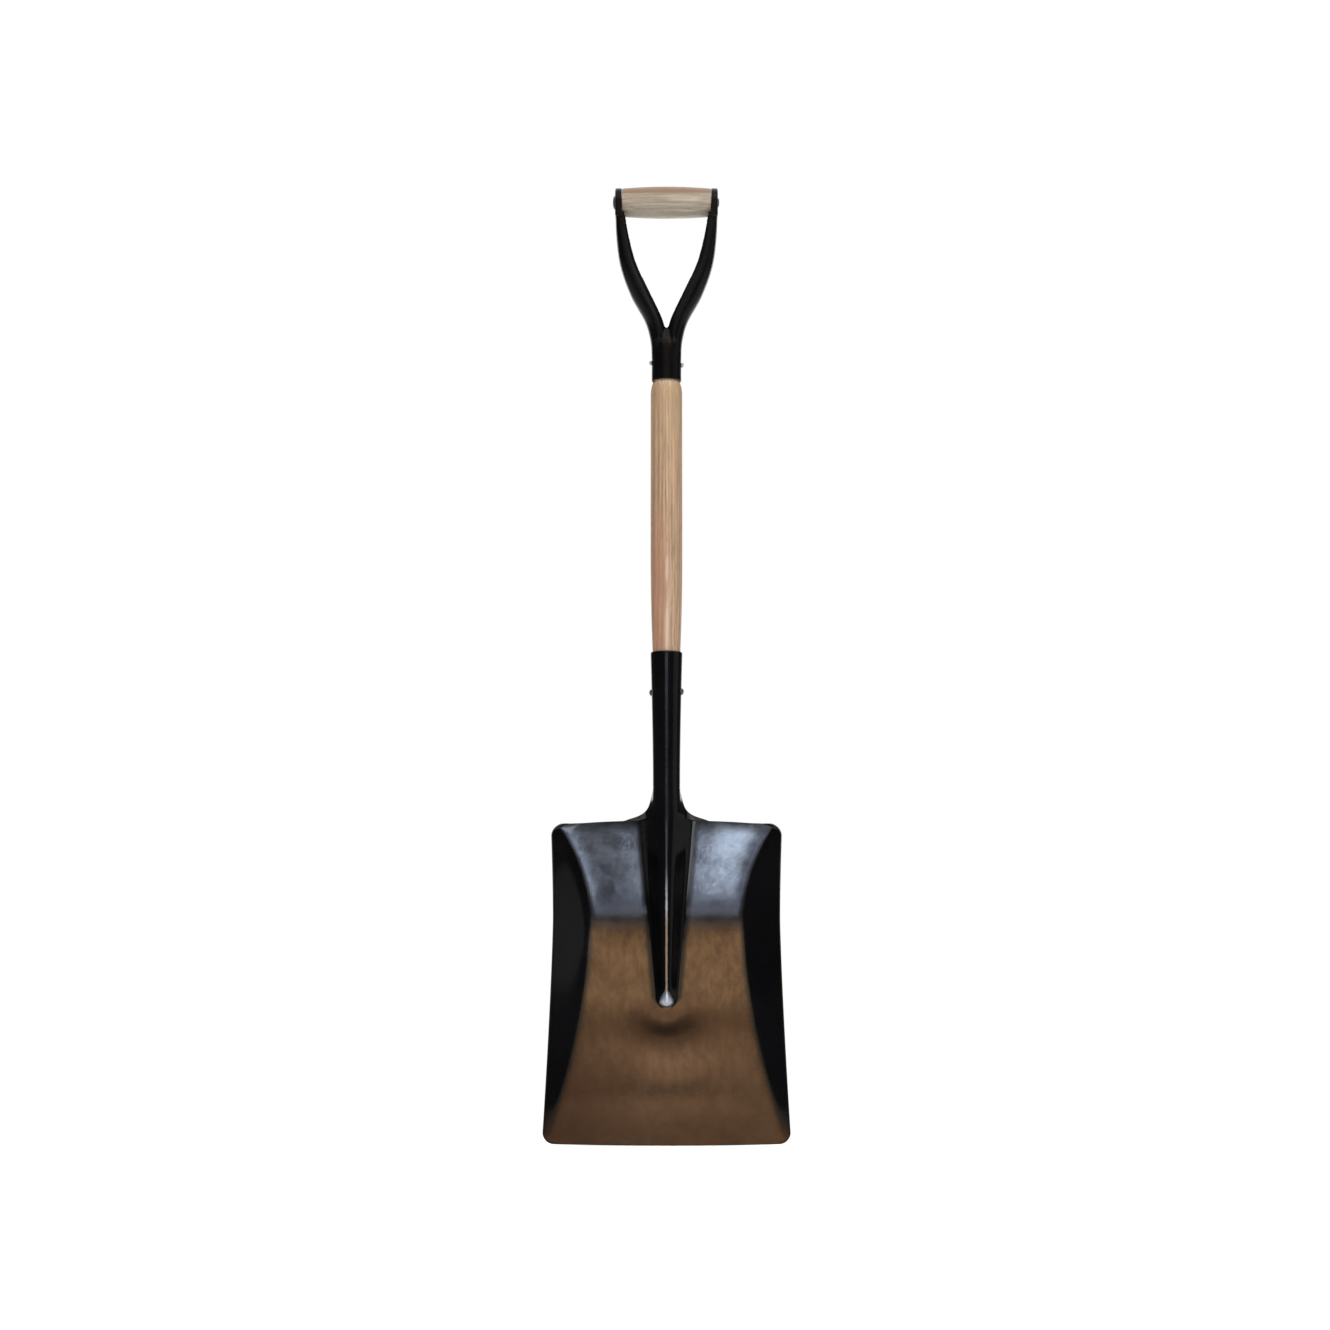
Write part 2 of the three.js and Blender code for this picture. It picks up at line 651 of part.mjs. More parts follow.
// ---------------------------------------------------------------- grip
function gripGeometry() {
  const face = GRIP_END_RADIUS - GRIP_EDGE;
  const profile = [[-GRIP_HALF, BORE_RADIUS], [-GRIP_HALF, face]];
  const steps = 10;
  for (let i = 0; i <= steps; i += 1) {
    const along = mix(-GRIP_HALF + GRIP_EDGE, GRIP_HALF - GRIP_EDGE, i / steps);
    const crown = 1 - (along / GRIP_HALF) ** 2;
    profile.push([along, mix(GRIP_END_RADIUS, GRIP_RADIUS, crown)]);
  }
  profile.push([GRIP_HALF, face], [GRIP_HALF, BORE_RADIUS], [-GRIP_HALF, BORE_RADIUS]);
  return latheX(profile, 32).translate(0, 0, GRIP_Z);
}

// ---------------------------------------------------------------- assembly
const socketHole = toSolid(placeSocketRivet(rod(SMALL_SHANK + GAP, CROSS_HOLE_HALF)));
const head = toGeometry(toSolid(thickenedSheet(headRows(), SHEET)).subtract(socketHole));
const yokeHead = { radius: 3.1, height: 2.3 };
const socketHead = { radius: 3.7, height: 2.4 };

const shovel = new THREE.Group();
shovel.add(
  named('shovel_head', head, lacquer),
  named('shaft', shaftGeometry(), ash),
  named('handle_yoke', yokeGeometry(), lacquer),
  named('grip', gripGeometry(), paleAsh),
  named('grip_rivet', placeGripRivet(
    rivet(ROD_RADIUS, EAR_OUTER_X + GAP, { radius: 7.5, height: 2.2 }, { radius: 5.2, height: 1.3 }),
  ), darkRivet),
  named('yoke_rivet', placeYokeRivet(rivet(SMALL_SHANK, YOKE_OD / 2 + GAP, yokeHead, yokeHead)), zinc),
  named('socket_rivet', placeSocketRivet(
    rivet(SMALL_SHANK, socketRadius(SOCKET_RIVET_Z) + SHEET / 2 + GAP, socketHead, socketHead),
  ), darkRivet),
);

// The origin is the middle of the footprint, level with the cutting edge.
const box = new THREE.Box3().setFromObject(shovel);
const centre = box.getCenter(new THREE.Vector3());
shovel.position.set(0, -centre.y, -box.min.z);

export default shovel;
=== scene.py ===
import math

import bmesh
import bpy
import numpy as np
from mathutils import Matrix, Vector


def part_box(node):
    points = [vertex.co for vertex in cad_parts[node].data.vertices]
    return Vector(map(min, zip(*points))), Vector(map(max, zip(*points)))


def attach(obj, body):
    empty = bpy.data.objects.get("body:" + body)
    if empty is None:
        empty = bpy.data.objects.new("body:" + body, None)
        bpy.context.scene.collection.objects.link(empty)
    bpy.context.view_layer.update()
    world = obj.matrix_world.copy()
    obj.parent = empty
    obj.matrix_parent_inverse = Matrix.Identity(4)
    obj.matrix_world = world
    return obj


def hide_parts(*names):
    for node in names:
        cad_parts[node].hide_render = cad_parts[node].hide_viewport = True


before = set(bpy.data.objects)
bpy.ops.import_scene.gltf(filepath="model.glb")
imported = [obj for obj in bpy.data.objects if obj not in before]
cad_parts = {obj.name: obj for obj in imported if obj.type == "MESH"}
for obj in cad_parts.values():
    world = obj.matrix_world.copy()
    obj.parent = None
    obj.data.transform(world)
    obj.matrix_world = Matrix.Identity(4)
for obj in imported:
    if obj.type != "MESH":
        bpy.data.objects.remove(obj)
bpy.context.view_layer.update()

# ---------------------------------------------------------------- driving dimensions (mm)
MM = 0.001

# pressed head
SHEET = 1.8
BLADE_TOP = 339.0
TIP_Y = -65.0
PAN_TOP_Y = 2.0
EDGE_TOP_Y = -1.0
CREASE_Z = 235.0
CREASE_Y = 6.5
CREASE_BLEND = 8.0
HALF_WIDTH_TIP = 127.0
HALF_WIDTH_WAIST = 118.4
HALF_WIDTH_TOP = 121.8
CORNER_RADIUS = 12.0
TIP_BOW = 1.5
TOP_BOW = 5.0
SIDE_CURVE = 1.4
PAN_CROWN = 1.5
CROWN_ROOT_BLEND = 40.0  # the crown's root moves out to the neck's shoulder over this top stretch
CROWN_START = 45.0  # the crown grows from this far below the crease
CROWN_FULL = 5.0  # to this far above it
FOLD_WAIST = 82.0
FOLD_TOP = 115.0
FOLD_TIP = 122.0
FOLD_SOFTNESS = 0.22
FOLD_INSET = 6.0
WING_SHARE = 0.85
WING_REACH = 12.0
RIB_END_Z = 143.0
RIB_NOSE = 14.0
RIB_HALF_WIDTH = 12.8
RIB_FLARE = 0.0934
RIB_LEAN = 0.0755
LEAN_START_Z = 345.0
LEAN_BLEND = 40.0
RIB_ROUNDNESS = 0.75
NOSE_POWER = 3.0
CREST_SHARE = 0.55
NECK_TOP = 372.0
SEAM_TOP = 432.0
SOCKET_TOP = 517.6
SOCKET_OD_NECK = 29.0
SOCKET_OD_MOUTH = 34.2
SOCKET_STRAIGHT = 382.0
NECK_FILLET_X = 31.0
NECK_FOOT_RADIUS = 8.0
ROLL_START = NECK_TOP - 20
SEAM_HALF_ANGLE = math.radians(1.2)
RIM_INSET = 0.6  # how far the sheet's rounded edge reaches past its flat
CRESCENT_DEPTH = 1.5  # press hollow under the rib's nose
CRESCENT_RISE = (17.0, 33.0)  # distances from the nose over which it deepens
CRESCENT_FALL = (36.0, 84.0)  # and over which it ends
BAND_DEPTH = 0.4  # soft hollow across the blade near its tip
BAND_Z = 48.0
BAND_SPREAD_X = 85.0
BAND_SPREAD_Z = 14.0
BAND_START_Z = (4.0, 30.0)

# shaft
SHAFT_OD = 34.0
SHAFT_FOOT_Z = 398.0
SHAFT_HEAD_Z = 850.0
SHAFT_FULL_Z = 640.0
SWELL_CURVE = 2.4
NECKING = 16.0
NECKING_CURVE = 2.6
TENON_FIT = 0.55

# handle yoke
YOKE_RIM_Z = 812.6
YOKE_OD = 32.0
YOKE_SHEET = 1.6
EAR_OUTER_X = 55.7
EAR_RIM_X = 48.3
EAR_RADIUS = 15.6
EAR_BEVEL = 1.5
ARM_HALF_DEPTH = 15.4
ARM_ROOT_DEPTH = 12.2
DOME_FOOT_Z = 848.0
DOME_TOP_Z = 875.0
EAR_DROP = 18.5
DISH_DROP = 18.0
SLOT_REACH = 12.0
SLOT_HALF = 7.5
YOKE_VOXEL = 0.68
RELAX_STEPS = 16
MELT_STEPS = 24
MELT_RISE = (832.0, 846.0)  # heights over which the root of the arms is melted together
MELT_FALL = (868.0, 885.0)
ARM_OUTER = ((16, 838), (16.9, 855), (22.2, 877), (38.2, 907.5), (50, 941), (54.4, 973), (55.6, 1003))
ARM_INNER = ((-2, 848), (-1.2, 864), (1.6, 877), (15.3, 908), (31.2, 942), (39.6, 974), (43.4, 998))

# grip and rivets
GRIP_Z = 1012.4
GRIP_RADIUS = 17.3
GRIP_END_RADIUS = 15.2
GRIP_HALF = EAR_RIM_X + 0.1
GRIP_EDGE = 0.7
ROD_RADIUS = 4.0
BORE_RADIUS = 4.6
SEAT_GAP = 0.3
SMALL_SHANK = 2.2
GRIP_RIVET_HEAD = (7.5, 2.2)  # radius and height
GRIP_RIVET_PEEN = (5.2, 1.3)
YOKE_RIVET_HEAD = (3.1, 2.3)
SOCKET_RIVET_HEAD = (3.7, 2.4)
YOKE_RIVET_Z = 832.4
YOKE_RIVET_SKEW = math.radians(4.2)
SOCKET_RIVET_Z = 475.3
SOCKET_RIVET_TURN = math.radians(-15)

# where the blade's finish and its painted reflections, highlights and shade change: heights, distances from
# the middle or from the rib's nose
RIB_SHADE_HALF = 16.0
RIB_SHADE_FLARE = 0.09
COAT_END_Z = (322.0, 342.0)
STEEL_TO_BRONZE_Z = (218.0, 250.0)
CREASE_SHADE_Z = 243.0
CREASE_SHADE_HALF = 27.0
TIP_SHADE_Z = (0.0, 200.0)
NOSE_SHADE_Z = 126.0
NOSE_SHADE_HALF = 36.0
HOLLOW_RISE = (12.0, 30.0)
HOLLOW_FALL = (34.0, 60.0)
DULL_CORNER_X = (-100.0, -10.0)
DULL_CORNER_Z = (60.0, 150.0)
HAMMERED_Z = (150.0, 230.0)
CREST_HALF = (0.4, 1.6)
CREST_RISE_Z = (152.0, 162.0)
CREST_FALL_Z = (245.0, 295.0)
CREST_COLOUR_Z = (226.0, 248.0)
NOSE_HIGHLIGHT_LENGTH = 20.0
NOSE_HIGHLIGHT_WIDTH = 22.5

# where the wood's finish and its painted light and shade change
ROSY_X = (-6.0, 4.0)
ROSY_Z = (600.0, 700.0)
GOLD_Z = (680.0, 800.0)
SHAFT_SHADE_X = (6.0, 16.5)
HIGHLIGHT_STREAK_HALF = (0.5, 2.8)
HIGHLIGHT_STREAK_Z = (620.0, 660.0)
GRIP_WARM_LIGHT_Z = (1018.0, 1021.5)
SHEEN_Z = 1013.5
SHEEN_HALF = 3.5
SHEEN_RISE_X = (-4.0, 10.0)
SHEEN_FALL_X = (30.0, 42.0)
RING_WIDTH = 3.3

# colours, linear RGB
BLACK_DEEP = (0.0012, 0.0012, 0.0016)
BLACK_THIN = (0.0024, 0.0024, 0.0030)
# Steel and bronze are the pan coat's tint and partly painted reflections; the crease, nose and hollow
# colours are painted shade.
STEEL_DARK = (0.068, 0.076, 0.092)
STEEL_LIGHT = (0.100, 0.112, 0.135)
CREASE_SHADE = (0.018, 0.016, 0.015)
BRONZE_DARK = (0.050, 0.035, 0.023)
BRONZE_LIGHT = (0.086, 0.060, 0.039)
BRONZE_TIP = (0.038, 0.026, 0.019)
BRONZE_NOSE_SHADE = (0.024, 0.015, 0.010)
BRONZE_CLOUDS = (0.034, 0.021, 0.013)
BRONZE_HOLLOW_SHADE = (0.014, 0.009, 0.007)
BRONZE_CORNER = (0.020, 0.012, 0.009)
CREST_HIGHLIGHT_BROWN = (0.17, 0.128, 0.09)
CREST_HIGHLIGHT_BRIGHT = (0.24, 0.25, 0.28)
NOSE_HIGHLIGHT_STEEL = (0.30, 0.325, 0.37)
SHAFT_LIGHT = (0.365, 0.256, 0.166)
SHAFT_DARK = (0.180, 0.108, 0.060)
SHAFT_ROSY = (0.27, 0.125, 0.078)
SHAFT_GOLD = (0.33, 0.235, 0.130)
SHAFT_EDGE_SHADE = (0.20, 0.125, 0.075)
SHAFT_HIGHLIGHT = (0.50, 0.43, 0.36)
GRIP_LIGHT = (0.270, 0.238, 0.184)
GRIP_DARK = (0.160, 0.134, 0.098)
GRIP_TOP_WARM_LIGHT = (0.135, 0.066, 0.024)
GRIP_SHEEN = (0.46, 0.43, 0.37)
DARK_STEEL = ((0.10, 0.10, 0.105), (0.045, 0.045, 0.05))
GREY_STEEL = ((0.5, 0.51, 0.53), (0.3, 0.31, 0.33))
FLOOR_PAINT = (0.93, 0.93, 0.93)

# studio: places in metres, the lens in millimetres
FLOOR_REACH = 12.0
LENS = 84.05
CAMERA_DISTANCE = 3.3
CAMERA_TILT = math.radians(-8.5)
AIM_X = -0.0016
AIM_Z = 0.5047
WALLS = 0.10
SWEEP = 1.0
SKY = 3.4
SKY_SPREAD = math.radians(100)

# The shaft runs up the design's Z axis, so its packed box gives the design's origin in the frame.
shaft_low, shaft_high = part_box("shaft")
ORIGIN = Vector((0.0, (shaft_low.y + shaft_high.y) / 2, shaft_low.z - SHAFT_FOOT_Z * MM))
MIDDLE = (0, ORIGIN.y, 0.5)

# Name, place, target, width and height, brightness, colour. The warm and cool colours tint what
# the pan and the sockets reflect.
SOFT_LIGHTS = (
    ("crest_strip", (0.0, -8.0, 2.09), (0, 0, 0.3), (2.0, 0.25), 8.0, (0.95, 0.98, 1.0)),
    ("socket_panel", (0.0, -3.2, 0.84), (0, 0, 0.5), (1.2, 0.20), 4.4, (0.70, 0.76, 1.0)),
    ("window", (0.64, -3.2, 0.25), (0, 0, 0.3), (1.0, 0.44), 9.6, (0.86, 0.93, 1.0)),
    ("ceiling", (0.0, -4.2, 3.9), (0, 0, 0.1), (5.4, 2.0), 2.9, (1.0, 0.74, 0.50)),
    ("skirt", (0.0, -5.0, 2.62), (0, 0, 0.1), (5.0, 0.80), 1.2, (1.0, 0.74, 0.50)),
    ("side_card", (2.9, -0.83, 1.2), (0, 0, 0.2), (2.4, 2.0), 0.6, (1.0, 0.97, 0.92)),
    ("key", (1.2, -1.5, 2.5), MIDDLE, (1.6, 1.6), 2.2, (1.0, 0.98, 0.95)),
    ("fill", (-1.4, -0.9, 2.8), MIDDLE, (1.6, 1.6), 1.0, (0.95, 0.98, 1.0)),
    ("back_panel", (0.0, 3.6, 1.2), (0, 0, 0.5), (5.0, 2.4), 1.5, (1.0, 1.0, 1.0)),
)


def mix(a, b, t):
    return a + (b - a) * t


def clamp01(value):
    return min(1.0, max(0.0, value))


def smoothstep(value, low, high):
    t = clamp01((value - low) / (high - low))
    return t * t * (3 - 2 * t)


# ---------------------------------------------------------------- mesh helpers
def new_object(name, verts, faces):
    """A smooth-shaded mesh object from design coordinates in millimetres."""
    mesh = bpy.data.meshes.new(name)
    placed = [Vector(v) * MM + ORIGIN for v in verts]
    mesh.from_pydata(placed, [], faces)
    mesh.validate()
    work = bmesh.new()
    work.from_mesh(mesh)
    bmesh.ops.recalc_face_normals(work, faces=work.faces)
    work.to_mesh(mesh)
    work.free()
    obj = bpy.data.objects.new(name, mesh)
    bpy.context.scene.collection.objects.link(obj)
    mesh.shade_smooth()
    return obj


def finish_piece(obj, node, body, material):
    obj.data.materials.clear()
    obj.data.materials.append(material)
    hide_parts(node)
    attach(obj, body)


def spin(profile, count, closed):
    """Verts and faces of a profile of (radius, along) turned about the along axis."""
    verts = []
    rows = []
    for radius, along in profile:
        if radius == 0:
            rows.append([len(verts)] * count)
            verts.append((0.0, 0.0, along))
            continue
        rows.append(list(range(len(verts), len(verts) + count)))
        for i in range(count):
            angle = 2 * math.pi * i / count
            verts.append((radius * math.cos(angle), radius * math.sin(angle), along))
    faces = []
    pairs = list(zip(rows, rows[1:]))
    if closed:
        pairs.append((rows[-1], rows[0]))
    for low, high in pairs:
        for i in range(count):
            k = (i + 1) % count
            ring = [low[i], low[k], high[k], high[i]]
            face = [v for n, v in enumerate(ring) if v not in ring[:n]]
            if len(face) > 2:
                faces.append(face)
    return verts, faces


def along_x(verts):
    return [(z, x, y) for x, y, z in verts]


def moved(verts, matrix):
    return [matrix @ Vector(v) for v in verts]


def apply_modifiers(obj):
    graph = bpy.context.evaluated_depsgraph_get()
    mesh = bpy.data.meshes.new_from_object(obj.evaluated_get(graph))
    old = obj.data
    obj.modifiers.clear()
    obj.data = mesh
    bpy.data.meshes.remove(old)


def combine(obj, others, operation):
    """Joins or cuts obj with other closed meshes, which are then removed."""
    for other in others:
        step = obj.modifiers.new("combine", "BOOLEAN")
        step.operation = operation
        step.solver = "MANIFOLD"
        step.object = other
        apply_modifiers(obj)
        bpy.data.objects.remove(other)


# ---------------------------------------------------------------- pressed head
def pan_y(z):
    lower = TIP_Y + (CREASE_Y - TIP_Y) * z / CREASE_Z
    upper = mix(PAN_TOP_Y, CREASE_Y, (BLADE_TOP - z) / (BLADE_TOP - CREASE_Z))
    apart = lower - upper
    return (lower + upper - math.sqrt(apart * apart + CREASE_BLEND**2)) / 2


def edge_y(z):
    return mix(TIP_Y, EDGE_TOP_Y, z / BLADE_TOP)


def side_x(z):
    below = max(0.0, (CREASE_Z - z) / CREASE_Z)
    above = max(0.0, (z - CREASE_Z) / (BLADE_TOP - CREASE_Z))
    straight = HALF_WIDTH_WAIST
    straight += (HALF_WIDTH_TIP - HALF_WIDTH_WAIST) * below**SIDE_CURVE
    straight += (HALF_WIDTH_TOP - HALF_WIDTH_WAIST) * above**SIDE_CURVE
    reach = max(0.0, CORNER_RADIUS - min(z, BLADE_TOP - z))
    return straight - (CORNER_RADIUS - math.sqrt(CORNER_RADIUS**2 - reach**2))


def fold_x(z):
    below = max(0.0, (CREASE_Z - z) / CREASE_Z)
    above = max(0.0, (z - CREASE_Z) / (BLADE_TOP - CREASE_Z))
    line = FOLD_WAIST + (FOLD_TIP - FOLD_WAIST) * below**2 + (FOLD_TOP - FOLD_WAIST) * above**2
    return min(line, side_x(z) - FOLD_INSET)


def wing_rise(x, z):
    ramp = (x - fold_x(z)) / (side_x(z) - fold_x(z))
    soft = (ramp + math.sqrt(ramp * ramp + FOLD_SOFTNESS**2)) / 2
    full = (1 + math.sqrt(1 + FOLD_SOFTNESS**2)) / 2
    return (pan_y(z) - edge_y(z)) * soft / full


def socket_radius(z):
    up = max(0.0, (z - SOCKET_STRAIGHT) / (SOCKET_TOP - SOCKET_STRAIGHT))
    return (SOCKET_OD_NECK + (SOCKET_OD_MOUTH - SOCKET_OD_NECK) * up**1.5 - SHEET) / 2


def crest_y(z):
    below = max(0.0, LEAN_START_Z - z)
    return -socket_radius(z) - RIB_LEAN * (math.sqrt(below**2 + LEAN_BLEND**2) - LEAN_BLEND)


def rib_section(z):
    """(crest radius, foot radius, angle, flank, base) of half of the rib's section."""
    nose_top = RIB_END_Z + RIB_NOSE
    below = clamp01((nose_top - z) / RIB_NOSE)
    fade = (1 - below**NOSE_POWER) ** (1 / NOSE_POWER)
    base = RIB_HALF_WIDTH + RIB_FLARE * max(0.0, z - nose_top)
    height = (pan_y(z) - crest_y(z)) * fade
    width = base * fade
    if height < 0.05:
        return 1.0, 1.0, 0.0, 0.0, base
    rounding = RIB_ROUNDNESS * (width**2 + height**2) / (2 * height)
    low = 0.0
    high = math.asin(min(1.0, width / rounding))
    for _ in range(40):
        angle = (low + high) / 2
        rise = (width - rounding * math.sin(angle)) * math.tan(angle)
        rise += rounding * (1 - math.cos(angle))
        if rise > height:
            high = angle
        else:
            low = angle
    flank = (width - rounding * math.sin(low)) / math.cos(low)
    return rounding * CREST_SHARE, rounding * (1 - CREST_SHARE), low, flank, base


def section_point(section, s):
    crest, foot, angle, flank = section[:4]
    arc = crest * angle
    if s <= arc:
        return crest * math.sin(s / crest), crest * (1 - math.cos(s / crest))
    along = min(s - arc, flank)
    x = crest * math.sin(angle) + along * math.cos(angle)
    y = crest * (1 - math.cos(angle)) + along * math.sin(angle)
    turned = min((s - arc - along) / foot, angle)
    rest = s - arc - along - turned * foot
    x += foot * (math.sin(angle) - math.sin(angle - turned)) + rest
    y += foot * (math.cos(angle - turned) - math.cos(angle))
    return x, y


def section_length(section):
    crest, foot, angle, flank = section[:4]
    return angle * (crest + foot) + flank


def shoulder_x(z):
    down = (NECK_TOP - z) / (NECK_TOP - BLADE_TOP)
    return socket_radius(z) + NECK_FILLET_X * (down + 3 * down**6) / 4


def neck_section(z):
    blade = rib_section(BLADE_TOP)
    t = clamp01((z - BLADE_TOP) / (NECK_TOP - BLADE_TOP))
    roll = smoothstep(z, ROLL_START, SEAM_TOP)
    opened = mix(blade[2], math.pi / 2, t)
    angle = mix(opened, math.pi - SEAM_HALF_ANGLE, roll)
    foot = mix(blade[1], NECK_FOOT_RADIUS, t)
    return mix(blade[0], socket_radius(z), t), foot, angle, mix(blade[3], 0.0, t)


def neck_length(section, z):
    start = section[0] * section[2] + section[3]
    if z >= NECK_TOP:
        return start
    low = start
    high = start + 60
    for _ in range(40):
        middle = (low + high) / 2
        if section_point(section, middle)[0] > shoulder_x(z):
            high = middle
        else:
            low = middle
    return low


RIB_COLUMNS = 22
NECK_COLUMNS = 28
PAN_COLUMNS = 18
WING_COLUMNS = 24
COLUMNS = NECK_COLUMNS + PAN_COLUMNS + WING_COLUMNS
CORNER_ROWS = 9
BLADE_ROWS = 150
SOCKET_ROWS = 90


def dents(x, z):
    """Shallow hollows left by the press: a crescent under the rib's nose and a soft band below it."""
    away = math.hypot(x, z - RIB_END_Z)
    down = max(0.0, (RIB_END_Z - z) / (away + 1e-6)) ** 1.5
    crescent = smoothstep(away, *CRESCENT_RISE) - smoothstep(away, *CRESCENT_FALL)
    band = math.exp(-(((z - BAND_Z) / BAND_SPREAD_Z) ** 2)) * math.exp(-((x / BAND_SPREAD_X) ** 2))
    return CRESCENT_DEPTH * crescent * down + BAND_DEPTH * band * smoothstep(z, *BAND_START_Z)


def pan_crown(x, z):
    foot = RIB_HALF_WIDTH + RIB_FLARE * (z - RIB_END_Z)
    root = mix(foot, shoulder_x(BLADE_TOP), smoothstep(z, BLADE_TOP - CROWN_ROOT_BLEND, BLADE_TOP))
    across = clamp01((x - root) / (side_x(z) - root))
    grown = smoothstep(z, CREASE_Z - CROWN_START, CREASE_Z + CROWN_FULL)
    return PAN_CROWN * grown * math.sin(math.pi * across**1.5) ** 2


def blade_row(z):
    section = rib_section(z)
    shoulder = shoulder_x(BLADE_TOP)
    end_x, height = section_point(section, section_length(section))
    rib_length = section_length(section) + section[4] - end_x
    side = side_x(z)
    fold = fold_x(z)
    wing_start = max(mix(shoulder, fold, WING_SHARE), fold - WING_REACH)
    points = []
    for i in range(COLUMNS + 1):
        y = pan_y(z)
        if i <= RIB_COLUMNS:
            x, back = section_point(section, rib_length * i / RIB_COLUMNS)
            y += back - height
        elif i <= NECK_COLUMNS:
            x = mix(section[4], shoulder, (i - RIB_COLUMNS) / (NECK_COLUMNS - RIB_COLUMNS))
        elif i <= NECK_COLUMNS + PAN_COLUMNS:
            x = mix(shoulder, wing_start, (i - NECK_COLUMNS) / PAN_COLUMNS)
        else:
            x = mix(wing_start, side, (i - NECK_COLUMNS - PAN_COLUMNS) / WING_COLUMNS)
        bow = (x / side_x(CREASE_Z)) ** 2 * mix(TIP_BOW, -TOP_BOW, z / BLADE_TOP)
        points.append((x, y + pan_crown(x, z) - wing_rise(x, z), z + bow))
    return points


def neck_row(z):
    section = neck_section(z)
    length = neck_length(section, z)
    foot = blade_row(BLADE_TOP)
    blade = rib_section(BLADE_TOP)
    beside = shoulder_x(BLADE_TOP) - blade[4]
    whole = section_length(blade) + beside
    even = clamp01((z - BLADE_TOP) / (NECK_TOP - BLADE_TOP))
    points = []
    for i in range(NECK_COLUMNS + 1):
        past = max(0, i - RIB_COLUMNS) / (NECK_COLUMNS - RIB_COLUMNS)
        share = (section_length(blade) * min(i, RIB_COLUMNS) / RIB_COLUMNS + past * beside) / whole
        x, y = section_point(section, length * mix(share, i / NECK_COLUMNS, even))
        points.append((x, crest_y(z) + y, z))
    points[0] = (0.0, mix(foot[0][1], points[0][1], clamp01(even * 4)), z)
    return points


def head_rows():
    quarter = [math.pi / 2 * i / CORNER_ROWS for i in range(CORNER_ROWS + 1)]
    corner = [CORNER_RADIUS * (1 - math.cos(angle)) for angle in quarter]
    heights = list(corner)
    for i in range(1, BLADE_ROWS):
        heights.append(mix(CORNER_RADIUS, BLADE_TOP - CORNER_RADIUS, i / BLADE_ROWS))
    heights += [BLADE_TOP - z for z in reversed(corner)]
    rows = [blade_row(z) for z in heights]
    for i in range(1, SOCKET_ROWS + 1):
        t = i / SOCKET_ROWS
        rows.append(neck_row(mix(BLADE_TOP, SOCKET_TOP, 0.35 * t**2 + 0.65 * t)))
    return rows


def middle_surface(rows):
    """Points and quads of both halves of every row, with the press's hollows in the blade."""
    points = []
    grid = []
    for row in rows:
        line = {}
        for i, (x, y, z) in enumerate(row):
            pressed = y + dents(x, z) * (z < BLADE_TOP)
            line[i] = len(points)
            points.append((x, pressed, z))
            if i > 0:
                line[-i] = len(points)
                points.append((-x, pressed, z))
        grid.append(line)
    quads = []
    for low, high in zip(grid, grid[1:]):
        reach = min(max(low), max(high))
        for i in range(-reach, reach):
            quads.append((low[i], low[i + 1], high[i + 1], high[i]))
    return np.array(points, float), quads


def point_normals(points, quads):
    quad = np.array(quads)
    cross = np.cross(points[quad[:, 2]] - points[quad[:, 0]], points[quad[:, 3]] - points[quad[:, 1]])
    normal = np.zeros_like(points)
    for k in range(4):
        np.add.at(normal, quad[:, k], cross)
    return normal / np.linalg.norm(normal, axis=1)[:, None]


def open_edges(quads):
    """The edges that only one quad has, in that quad's direction."""
    rim = {}
    for face in quads:
        for a, b in zip(face, face[1:] + face[:1]):
            if (b, a) in rim:
                del rim[(b, a)]
            else:
                rim[(a, b)] = True
    return list(rim)


def outward_from_rim(points, normal, rim, edge):
    outward = np.zeros_like(points)
    for a, b in rim:
        along = points[b] - points[a]
        away = np.cross(along / np.linalg.norm(along), normal[a] + normal[b])
        outward[a] += away
        outward[b] += away
    outward[edge] /= np.linalg.norm(outward[edge], axis=1)[:, None]
    return outward


def rounded_sheet(rows, thickness, inset):
    """A closed sheet round the middle surface, with a half-round rim all the way round."""
    middle, quads = middle_surface(rows)
    normal = point_normals(middle, quads)
    rim = open_edges(quads)
    edge = sorted({v for pair in rim for v in pair})
    outward = outward_from_rim(middle, normal, rim, edge)
    middle[edge] -= outward[edge] * inset
    half = thickness / 2
    verts = list(middle + normal * half) + list(middle - normal * half)
    count = len(middle)
    faces = list(quads)
    faces += [tuple(v + count for v in reversed(face)) for face in quads]
    rings = {v: [v] for v in edge}
    for angle in (math.radians(a) for a in (50, 17, -17, -50)):
        for v in edge:
            rings[v].append(len(verts))
            reach = outward[v] * inset * math.cos(angle)
            verts.append(middle[v] + normal[v] * half * math.sin(angle) + reach)
    for v in edge:
        rings[v].append(v + count)
    for a, b in rim:
        for k in range(len(rings[a]) - 1):
            faces.append((rings[b][k], rings[a][k], rings[a][k + 1], rings[b][k + 1]))
    return verts, faces


# ---------------------------------------------------------------- handle yoke
def spline(points, t):
    """Point of a centripetal Catmull-Rom curve through (x, z) points, t from 0 to 1."""
    knots = [Vector(p) for p in points]
    knots = [knots[0] * 2 - knots[1]] + knots + [knots[-1] * 2 - knots[-2]]
    spans = len(points) - 1
    k = min(int(t * spans), spans - 1)
    w = t * spans - k
    p0, p1, p2, p3 = knots[k : k + 4]
    d1 = max((p1 - p0).length ** 0.5, 1e-6)
    d2 = max((p2 - p1).length ** 0.5, 1e-6)
    d3 = max((p3 - p2).length ** 0.5, 1e-6)
    out = ((p1 - p0) / d1 - (p2 - p0) / (d1 + d2) + (p2 - p1) / d2) * d2
    into = ((p2 - p1) / d2 - (p3 - p1) / (d2 + d3) + (p3 - p2) / d3) * d2
    a = p1 * 2 - p2 * 2 + out + into
    b = p2 * 3 - p1 * 3 - out * 2 - into
    return ((a * w + b) * w + out) * w + p1


